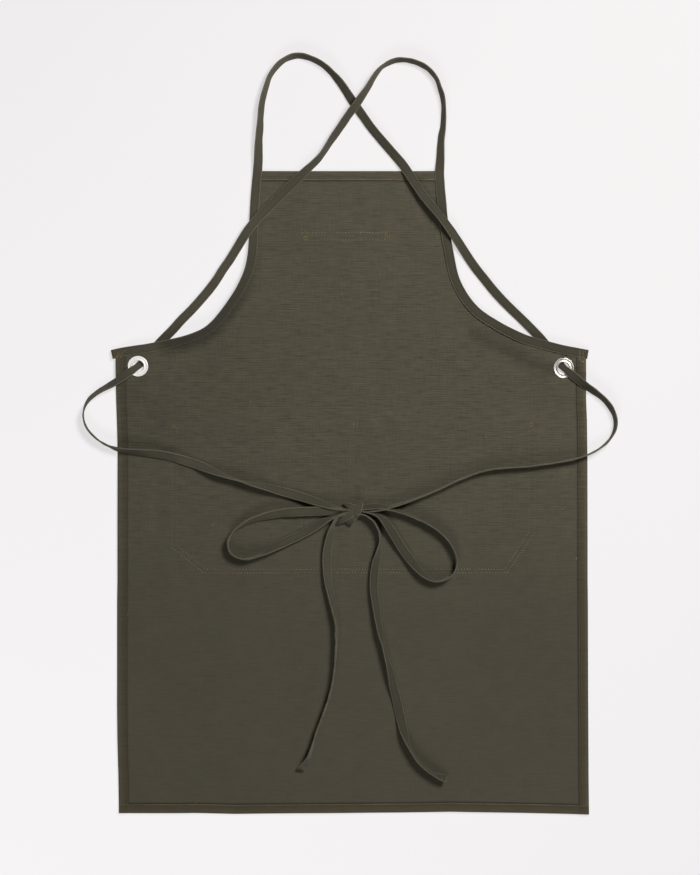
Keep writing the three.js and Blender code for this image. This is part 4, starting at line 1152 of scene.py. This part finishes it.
def make_panel():
    outline = cloth_outline(1.3, 3.4)
    xs = grid_lines(-SIDE_X, SIDE_X)[1:-1]
    ys = grid_lines(HEM_Y, BIB_Y)[1:-1]
    gx, gy = [part.ravel() for part in np.meshgrid(xs, ys)]
    edge_lines = [coarse(shifted(EDGE[side][:, :2], 1.3 * TOWARDS_CLOTH[side]), 2) for side in EDGE]
    keep = inside(gx, gy, outline)
    for line in edge_lines:
        keep &= line_distance(gx, gy, line) > 1.5
    gx, gy = gx[keep], gy[keep]
    rims = []
    for centre in GROMMETS.values():
        away = np.hypot(gx - centre[0], gy - centre[1])
        gx, gy = gx[away > RIM_CLEAR], gy[away > RIM_CLEAR]
        turn = np.linspace(0, 2 * math.pi, 28, endpoint=False)
        rims.append(centre[:2] + RIM_RADIUS * np.column_stack([np.cos(turn), np.sin(turn)]))
    points = np.vstack([outline, *rims, np.column_stack([gx, gy])])
    loops = [len(outline)] + [len(rim) for rim in rims]
    flat, triangles = triangulated(points, loops, outline, GROMMETS.values())
    x, y = flat[:, 0], flat[:, 1]
    real_x, real_y = laid_out(x, y)
    top = cloth_top(x, y)
    below = underside(real_x, real_y)
    nearest = hem_parts(x, y)[3]
    below = below + edge_round(nearest, CLOTH + HEM_RISE)
    relief = cloth_relief(real_x, real_y) * calmness(nearest)
    below = below + np.maximum(relief, -0.2) * 0.8 * (box_distance(real_x, real_y, POCKET_BOX) > 4)
    vertices = np.vstack([np.column_stack([real_x, real_y, top]), np.column_stack([real_x, real_y, below])])
    faces = two_sided(triangles, len(x))
    tone = cloth_tone(x, y)
    piece = mesh_piece("panel", vertices, faces, [canvas], "canvas", tone=np.vstack([tone, tone]))
    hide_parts("apron_panel")
    return piece


panel = make_panel()

# Straps
bands = {"left": make_band("left")}
bands["right"] = make_band("right")
TAPES = {
    "tail_left": make_tape(TAIL_LEFT, 1),
    "tail_right": make_tape(TAIL_RIGHT, -1),
    "loop_left": make_tape(LOOP_LEFT, 1),
    "loop_right": make_tape(LOOP_RIGHT, -1),
}
# Painted shade: the right tail and the right loop are darker
TAPES["tail_right"].shade -= 0.4
TAPES["loop_right"].shade -= 0.5
BAND_NODES = {
    "left": ("armhole_binding_left", "neck_strap_left", "waist_tie_right"),
    "right": ("armhole_binding_right", "neck_strap_right", "waist_tie_left"),
}

stitch_parts = []
for side, band in bands.items():
    vertices, faces, tone = band.mesh()
    piece = mesh_piece("tape_" + side, vertices, faces, [tape_cloth], "tape", tone=tone)
    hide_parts(*BAND_NODES[side])
    places, runs, normals = band.stitches(STRAP_PITCH, start=2.0)
    stitch_parts.append(thread_mesh(places, runs, normals, 2.5, 0.24))
for name, tape in TAPES.items():
    vertices, faces, tone = tape.mesh()
    piece = mesh_piece(name + "_tape", vertices, faces, [tape_cloth], "tape", tone=tone)
    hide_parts("bow_" + ("loop_" if "loop" in name else "tail_") + name.split("_")[1])
    places, runs, normals = tape.stitches(STRAP_PITCH, start=4.0)
    stitch_parts.append(thread_mesh(places, runs, normals, 2.5, 0.24))

# Knot
knot_parts = []
for name, rows_px in KNOT_WRAPS.items():
    rows = centripetal(spots(rows_px), 1.2)
    base = underside(rows[:, 0], rows[:, 1]) + CLOTH
    centre = np.column_stack([rows[:, 0], rows[:, 1], base + smoothed(rows[:, 2], 2)])
    slit = np.full(len(rows), 0.12)
    wrap = Tape(centre, np.radians(rows[:, 3]), rows[:, 4], slit, -1 if name == "upper" else 1)
    knot_parts.append(wrap.mesh())
knot_vertices, knot_faces = joined([part[:2] for part in knot_parts])
knot_tone = np.vstack([part[2] for part in knot_parts])
# Painted shade: the knot's wraps are darker where they lie low, down between the others
knot_height = knot_vertices[:, 2] - underside(knot_vertices[:, 0], knot_vertices[:, 1]) - CLOTH
knot_tone[:, 1] -= 0.42 * ease((8.0 - knot_height) / 5.5)
knot = mesh_piece("knot", knot_vertices, knot_faces, [tape_cloth], "tape", tone=knot_tone)
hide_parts("bow_knot")


def tube(points, radius, sides=6):
    """A round thread along points in space, thinner at its ends."""
    points = np.asarray(points, float)
    run = unit(np.gradient(points, axis=0))
    aside = unit(np.cross(run, np.tile([0.13, 0.21, 1.0], (len(run), 1))))
    over = np.cross(aside, run)
    taper = np.minimum(1, 0.45 + 0.55 * np.minimum(np.arange(len(points)), np.arange(len(points))[::-1]))
    rows = []
    for corner in range(sides):
        angle = 2 * math.pi * corner / sides
        rows.append(points + (aside * math.cos(angle) + over * math.sin(angle)) * (radius * taper)[:, None])
    vertices = np.stack(rows, 1).reshape(-1, 3)
    faces = []
    for ring in range(len(points) - 1):
        for corner in range(sides):
            follow = (corner + 1) % sides
            a, b = ring * sides, (ring + 1) * sides
            faces.append((a + corner, a + follow, b + follow, b + corner))
    faces.append(tuple(range(sides))[::-1])
    faces.append(tuple((len(points) - 1) * sides + corner for corner in range(sides)))
    return vertices, faces


def strand(rows, radius, count=14):
    """A loose thread through rows of x, y, z in millimetres."""
    rows = np.asarray(rows, float)
    at = np.linspace(0, len(rows) - 1, count)
    path = np.stack([np.interp(at, np.arange(len(rows)), rows[:, k]) for k in range(3)], 1)
    for column in range(3):
        path[:, column] = smoothed(path[:, column], 2)
    return tube(path, radius)


def cloth_height(place):
    return float(cloth_top(np.array([place[0]]), np.array([place[1]]))[0])


def binding_height(place):
    return float(underside(place[0], place[1])) + 2 * MID_CLOTH + LEG * 1.05


def bartack(pixels, width, height, pitch=0.62):
    """Dense stitches that cross the line between two pixels."""
    a, b = spots(pixels)
    reach = math.dist(a, b)
    run = (b - a) / reach
    aside = np.array([run[1], -run[0], 0.0])
    places, runs = [], []
    for step in range(int(reach / pitch) + 1):
        at = a + run * min(step * pitch, reach)
        places.append((*at, height(at) + 0.12))
        lean = 0.25 if step % 2 else -0.25
        runs.append(aside + lean * np.array([*run, 0.0]))
    count = len(places)
    lengths = width * chance.uniform(0.8, 1.15, count)
    return thread_mesh(np.array(places), np.array(runs), upright(count), lengths, 0.3)


def curl_thread(pixels, lift, height, radius=0.28):
    """A loose thread over pixels of the photograph, lifted in millimetres over what lies there."""
    rows = [(*place, height(place) + up) for place, up in zip(spots(pixels), lift)]
    return strand(rows, radius, 22)


def thread_ring(px, py, reach):
    """A small knot of thread drawn up into a ring; centre and reach in pixels."""
    turns = np.linspace(0.3, 2.05 * math.pi, 12)
    pixels = [(px + reach * math.cos(turn), py + 0.8 * reach * math.sin(turn)) for turn in turns]
    return curl_thread(pixels, [0.2] * len(pixels), cloth_height, 0.42)


def loose_stitches(box, count, lean, height=cloth_height):
    """Short stitches strewn over a box of pixels; lean is their direction in degrees, give or take."""
    low_px, low_py, high_px, high_py = box
    spread = [(chance.uniform(low_px, high_px), chance.uniform(low_py, high_py)) for _ in range(count)]
    places = [(*at, height(at) + 0.14) for at in spots(spread)]
    angle = np.radians(lean + chance.uniform(-32, 32, count))
    runs = np.column_stack([np.cos(angle), np.sin(angle), np.zeros(count)])
    return thread_mesh(np.array(places), runs, upright(count), chance.uniform(1.4, 3.0, count), 0.36)


loose = [
    curl_thread([(121, 357.4), (121.6, 354.4), (123.4, 351.6), (125.8, 350.2), (126.8, 350.8)],
                [0.1, 0.5, 0.9, 1.0, 0.5], binding_height),
    curl_thread([(119.6, 355.8), (120.8, 357.8), (122.6, 357.6)], [0.2, 0.3, 0.2], binding_height),
    bartack([(579.6, 350.4), (579.6, 359)], 1.5, binding_height, 0.9),
    curl_thread([(579.6, 358.6), (580, 360.4), (582, 361.4), (584.8, 363)],
                [0.1, 0.2, 0.15, 0.1], cloth_height),
    bartack([(583.6, 351.4), (583.6, 358.4)], 1.0, binding_height, 2.6),
    bartack([(261.4, 173), (261.4, 182)], 1.0, binding_height, 2.4),
    bartack([(437.4, 171), (437.4, 182)], 1.2, binding_height, 2.2),
]
tacks = [
    bartack([(113.4, 351), (113.4, 357.4)], 1.3, binding_height, 1.6),
    bartack([(120.2, 350), (120.2, 357.4)], 1.3, binding_height, 1.4),
    loose_stitches((113.6, 351, 120, 357.6), 26, 45, binding_height),
    loose_stitches((114.4, 352, 119.4, 356.8), 12, -45, binding_height),
    loose_stitches((582, 351, 585.6, 358.6), 10, 80, binding_height),
    thread_ring(305.6, 238, 2.0), loose_stitches((300.2, 231.6, 306.2, 236.4), 7, 10),
    loose_stitches((384.6, 232.2, 390, 240.4), 12, 20), thread_ring(388, 238.2, 1.3),
    thread_ring(173.9, 426.8, 1.9), loose_stitches((170.4, 423.6, 176, 429), 5, 20),
    thread_ring(530.8, 424.4, 1.9), loose_stitches((528.4, 425.6, 533, 431), 6, 70),
    loose_stitches((350.2, 420.8, 354, 425.4), 7, 15), loose_stitches((351.8, 570.4, 356.2, 573.4), 9, 15),
]
LINT = [
    (128, 615), (195.6, 802.7), (398.5, 640.7), (512.5, 669.4), (563, 509), (576.4, 558.6), (273, 438),
    (251, 402), (212.6, 524.4), (342, 294), (486, 436), (300, 668),
]
lint_parts = []
for place in spots(LINT):
    angle = chance.uniform(0, 2 * math.pi)
    reach = chance.uniform(0.9, 1.9)
    bend = chance.uniform(-0.8, 0.8)
    rows = []
    for share in (-1, -0.4, 0.3, 1):
        at = place + reach * share * np.array([math.cos(angle + bend * share), math.sin(angle + bend * share)])
        rows.append((*at, cloth_height(at) + 0.22))
    lint_parts.append(strand(rows, 0.2, 8))


def tail_end(tape, across_tack):
    """Frayed fibres and a tack at a tail's cut end."""
    parts = []
    centre, run, wide, thick = tape.centre[-1], tape.run[-1], tape.wide[-1], tape.thick[-1]
    half = tape.half[-1]
    for _ in range(26):
        side = chance.uniform(-1, 1)
        start = centre + wide * half * side * 0.94 + thick * chance.uniform(-0.7, 0.7) - run * 0.6
        aim = run + wide * (0.25 * side + chance.uniform(-0.3, 0.3)) + thick * chance.uniform(-0.25, 0.25)
        reach = chance.uniform(0.9, 2.9)
        bend = wide * chance.uniform(-0.5, 0.5)
        rows = [start + aim * reach * share + bend * share**2 for share in (0, 0.35, 0.7, 1)]
        rows = [(row[0], row[1], max(row[2], cloth_height(row[:2]) + 0.2)) for row in rows]
        parts.append(strand(rows, 0.2, 7))
    back = -3
    centre, run, wide, thick = tape.centre[back], tape.run[back], tape.wide[back], tape.thick[back]
    across = np.linspace(-0.75, 0.75, 8)[:, None]
    for row in across_tack:
        places = centre + wide * tape.half[back] * across + run * row + thick * (LEG + 0.2)
        runs = [run * 0.8 + wide * (0.6 if k % 2 else -0.6) for k in range(8)]
        parts.append(thread_mesh(places, np.array(runs), np.tile(thick, (8, 1)), 1.9, 0.28))
    return parts


fray = tail_end(TAPES["tail_left"], (-2.2, 0.6)) + tail_end(TAPES["tail_right"], (-0.8,))
mesh_piece("loose_threads", *joined(loose + lint_parts), [thread], "canvas")
mesh_piece("tack_threads", *joined(tacks), [tack_thread], "canvas")
mesh_piece("tail_frays", *joined(fray), [tape_thread], "tape")
mesh_piece("tape_stitching", *joined(stitch_parts), [tape_thread], "tape")


# Grommets
def make_grommet(side):
    centre = GROMMETS[side]
    low = float(underside(centre[0], centre[1])) - GAP
    high = low + CLOTH + 2 * GAP
    r, h = GROMMET_RADIUS, GROMMET_HOLE
    profile = [
        (h, low - 0.5), (h + 0.25, low - 0.95), (h + 0.8, low - 1.2), (h + 1.8, low - 1.1), (h + 3.2, low - 0.95),
        (r - 2.2, low - 1.1), (r - 1.0, low - 1.05), (r - 0.2, low - 0.7), (r, low - 0.3), (r - 0.25, low),
        (h + 1.2, low), (h + 1.2, high), (r - 0.3, high), (r, high + 0.3), (r - 0.12, high + 0.66),
        (r - 0.5, high + 0.96), (r - 1.1, high + 1.1), (r - 1.7, high + 0.96), (r - 2.3, high + 0.66),
        (h + 3.0, high + 0.56), (h + 2.3, high + 0.7), (h + 1.6, high + 1.0), (h + 1.0, high + 1.1),
        (h + 0.4, high + 0.9), (h + 0.1, high + 0.5), (h, high), (h, (low + high) / 2),
    ]
    around = 72
    vertices, faces = [], []
    for step in range(around):
        angle = 2 * math.pi * step / around
        for radius, z in profile:
            vertices.append((centre[0] + radius * math.cos(angle), centre[1] + radius * math.sin(angle), z))
    count = len(profile)
    for step in range(around):
        a, b = step * count, (step + 1) % around * count
        for k in range(count):
            follow = (k + 1) % count
            faces.append((a + k, b + k, b + follow, a + follow))
    in_barrel = [k in (0, count - 1, count - 2) for k in range(count)] * around
    piece = mesh_piece("eyelet_" + side, np.array(vertices), faces, [NICKEL_LIT_AND_SHADED[side], SHADED_BARREL], "nickel",
                       indices=np.array(in_barrel, int))
    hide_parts("grommet_" + side)


make_grommet("left")
make_grommet("right")

# Pocket and chest strip under the cloth
def flat_sheet(outline, low, top_of, name, node, material, slot):
    """A thin sewn-on sheet with rounded edges, low at a fixed height and top following a function."""
    outline = np.array(outline, float)
    low_x, low_y = outline.min(0)
    high_x, high_y = outline.max(0)
    steps = np.array([0.0, 0.2, 0.6, 1.4])
    xs = np.concatenate([low_x + steps, np.linspace(low_x + 6, high_x - 6, 70), high_x - steps[::-1]])
    ys = np.concatenate([low_y + steps, np.linspace(low_y + 6, high_y - 6, 36), high_y - steps[::-1]])
    gx, gy = [part.ravel() for part in np.meshgrid(xs, ys)]
    reach = line_distance(gx, gy, np.vstack([outline, outline[:1]]))
    keep = inside(gx, gy, outline) & (reach > 0.12)
    border = []
    for a, b in zip(outline, np.roll(outline, -1, axis=0)):
        count = max(int(math.dist(a, b) / 6), 1)
        share = np.linspace(0, 1, count, endpoint=False)[:, None]
        border.append(a + (b - a) * share)
    border = np.vstack(border)
    points = np.vstack([border, np.column_stack([gx[keep], gy[keep]])])
    flat, triangles = triangulated(points, [len(border)], outline)
    reach = line_distance(flat[:, 0], flat[:, 1], np.vstack([border, border[:1]]))
    top = top_of(flat[:, 0], flat[:, 1])
    round_off = edge_round(reach, 1.0)
    bottom = low + round_off + 0.03 * crinkle(flat[:, 0], flat[:, 1]) ** 2
    top = top - round_off
    total = len(flat)
    vertices = np.vstack([np.column_stack([flat, top]), np.column_stack([flat, bottom])])
    faces = two_sided(triangles, total)
    tone = np.zeros((2 * total, 4))
    tone[:, 1] = 0.5 + 0.15 * np.tile(hump(reach, 0, 1.0), 2)
    tone[:, 2] = 1
    tone[:, 3] = 1
    piece = mesh_piece(name, vertices, faces, [material], slot, tone=tone)
    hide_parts(node)
    return piece


low_x, low_y, high_x, high_y = POCKET_BOX
pocket_outline = [
    (low_x + POCKET_SLANT, low_y), (high_x - POCKET_SLANT, low_y), (high_x, low_y + POCKET_SLANT),
    (high_x, high_y), (low_x, high_y), (low_x, low_y + POCKET_SLANT),
]
pocket = flat_sheet(
    pocket_outline, 0.0, lambda x, y: 0.96 + 0.8 * ease((y - (high_y - HEM_WIDTH)) / 0.8), "pocket_sheet",
    "pocket", canvas, "canvas",
)
low_x, low_y, high_x, high_y = CHEST_BOX
chest = flat_sheet(
    [(low_x, low_y), (high_x, low_y), (high_x, high_y), (low_x, high_y)], 0.0,
    lambda x, y: np.full(len(x), 0.96), "chest_strip", "chest_tape", canvas, "tape",
)

# Panel stitching, in the straight cut's coordinates
HEM_ROWS = [
    [(-SIDE_X + HEM_STITCH, HEM_Y + 2), (-SIDE_X + HEM_STITCH, WING_Y - 14)],
    [(SIDE_X - HEM_STITCH, HEM_Y + 2), (SIDE_X - HEM_STITCH, WING_Y - 14)],
    [(-SIDE_X + 1, HEM_Y + HEM_STITCH), (SIDE_X - 1, HEM_Y + HEM_STITCH)],
    [(BIB_LEAN - BIB_HALF + 13, BIB_Y - HEM_STITCH), (BIB_LEAN + BIB_HALF - 13, BIB_Y - HEM_STITCH)],
]
POCKET_ROWS = [
    [(172.1, 424), (172.1, 547.8), (203.6, 572.8), (507, 572.8), (534.6, 533), (534.6, 424)],
    [(177, 427), (177, 545.5), (206, 569.2), (504.6, 569.2), (528.6, 532), (528.6, 427)],
    [(350.4, 423), (350.4, 572)],
    [(353.4, 423), (353.4, 572)],
    [(302.5, 232.8), (390, 232.8)],
    [(302.5, 240), (390, 240)],
]
cloth_stitches, hem_stitches, faint_stitches = [], [], []
for number, rows in enumerate(HEM_ROWS + [spots(rows) for rows in POCKET_ROWS]):
    in_hem = number < len(HEM_ROWS)
    places, runs, normals = on_cloth(rows, HEM_PITCH if in_hem else POCKET_PITCH)
    if number < 2:
        hem_stitches.append(thread_mesh(places, runs, normals, 2.4, 0.3))
    elif in_hem:
        cloth_stitches.append(thread_mesh(places, runs, normals, 2.4, 0.36))
    else:
        lengths = chance.uniform(1.3, 2.1, len(places))
        level = np.abs(runs[:, 0]) > 0.5
        cloth_stitches.append(thread_mesh(places[level], runs[level], normals[level], lengths[level], 0.36))
        faint_stitches.append(thread_mesh(places[~level], runs[~level], normals[~level], lengths[~level], 0.3))
    below = under_cloth(rows, HEM_PITCH, underside if in_hem else lambda x, y: np.full(len(x), 0.06))
    cloth_stitches.append(thread_mesh(*below, 2.5, 0.22))
cloth_stitching = mesh_piece("panel_stitching", *joined(cloth_stitches), [thread], "canvas")
hem_stitching = mesh_piece("hem_stitching", *joined(hem_stitches), [hem_thread], "canvas")
faint_stitching = mesh_piece("faint_stitching", *joined(faint_stitches), [faint_thread], "canvas")

# Stage, lights and camera
floor_mesh = bpy.data.meshes.new("floor")
FLOOR_CORNERS = [(-6, -6, -0.0004), (6, -6, -0.0004), (6, 6, -0.0004), (-6, 6, -0.0004)]
floor_mesh.from_pydata(FLOOR_CORNERS, [], [(0, 1, 2, 3)])
floor_mesh.materials.append(floor_material())
floor = placed("floor", floor_mesh)

world = bpy.data.worlds.new("studio")
bpy.context.scene.world = world
world.use_nodes = True
background = world.node_tree.nodes["Background"]
background.inputs[0].default_value = (1.0, 0.99, 0.985, 1)
background.inputs[1].default_value = 0.02


def area_light(name, place, aim, size, energy, colour):
    data = bpy.data.lights.new(name, "AREA")
    data.shape = "SQUARE"
    data.size = size
    data.energy = energy
    data.color = colour
    light = placed(name, data)
    light.location = place
    light.rotation_euler = (Vector(aim) - Vector(place)).to_track_quat("-Z", "Y").to_euler()


area_light("key", (1.15, 1.3, 2.0), (0, 0.05, 0), 0.8, 68, (1.0, 0.985, 0.96))
area_light("low", (-1.0, -4.6, 3.4), (0, 0, 0), 2.0, 122, (1.0, 0.99, 0.975))
area_light("overhead", (0.1, 0.1, 3.3), (0, 0.08, 0), 2.0, 3, (0.97, 0.985, 1.0))

CENTRE_X = (350 - ORIGIN_X) * SCALE / 1000
CENTRE_Y = (ORIGIN_Y - 437.5) * SCALE / 1000
camera_data = bpy.data.cameras.new("camera")
camera_data.lens = 85
camera_data.sensor_width = 36
camera_data.clip_end = 50
camera = placed("camera", camera_data)
camera.location = (CENTRE_X, CENTRE_Y, 875 * SCALE / 1000 * 85 / 36 + 0.002)
bpy.context.scene.camera = camera
bpy.context.scene.view_settings.view_transform = "Standard"
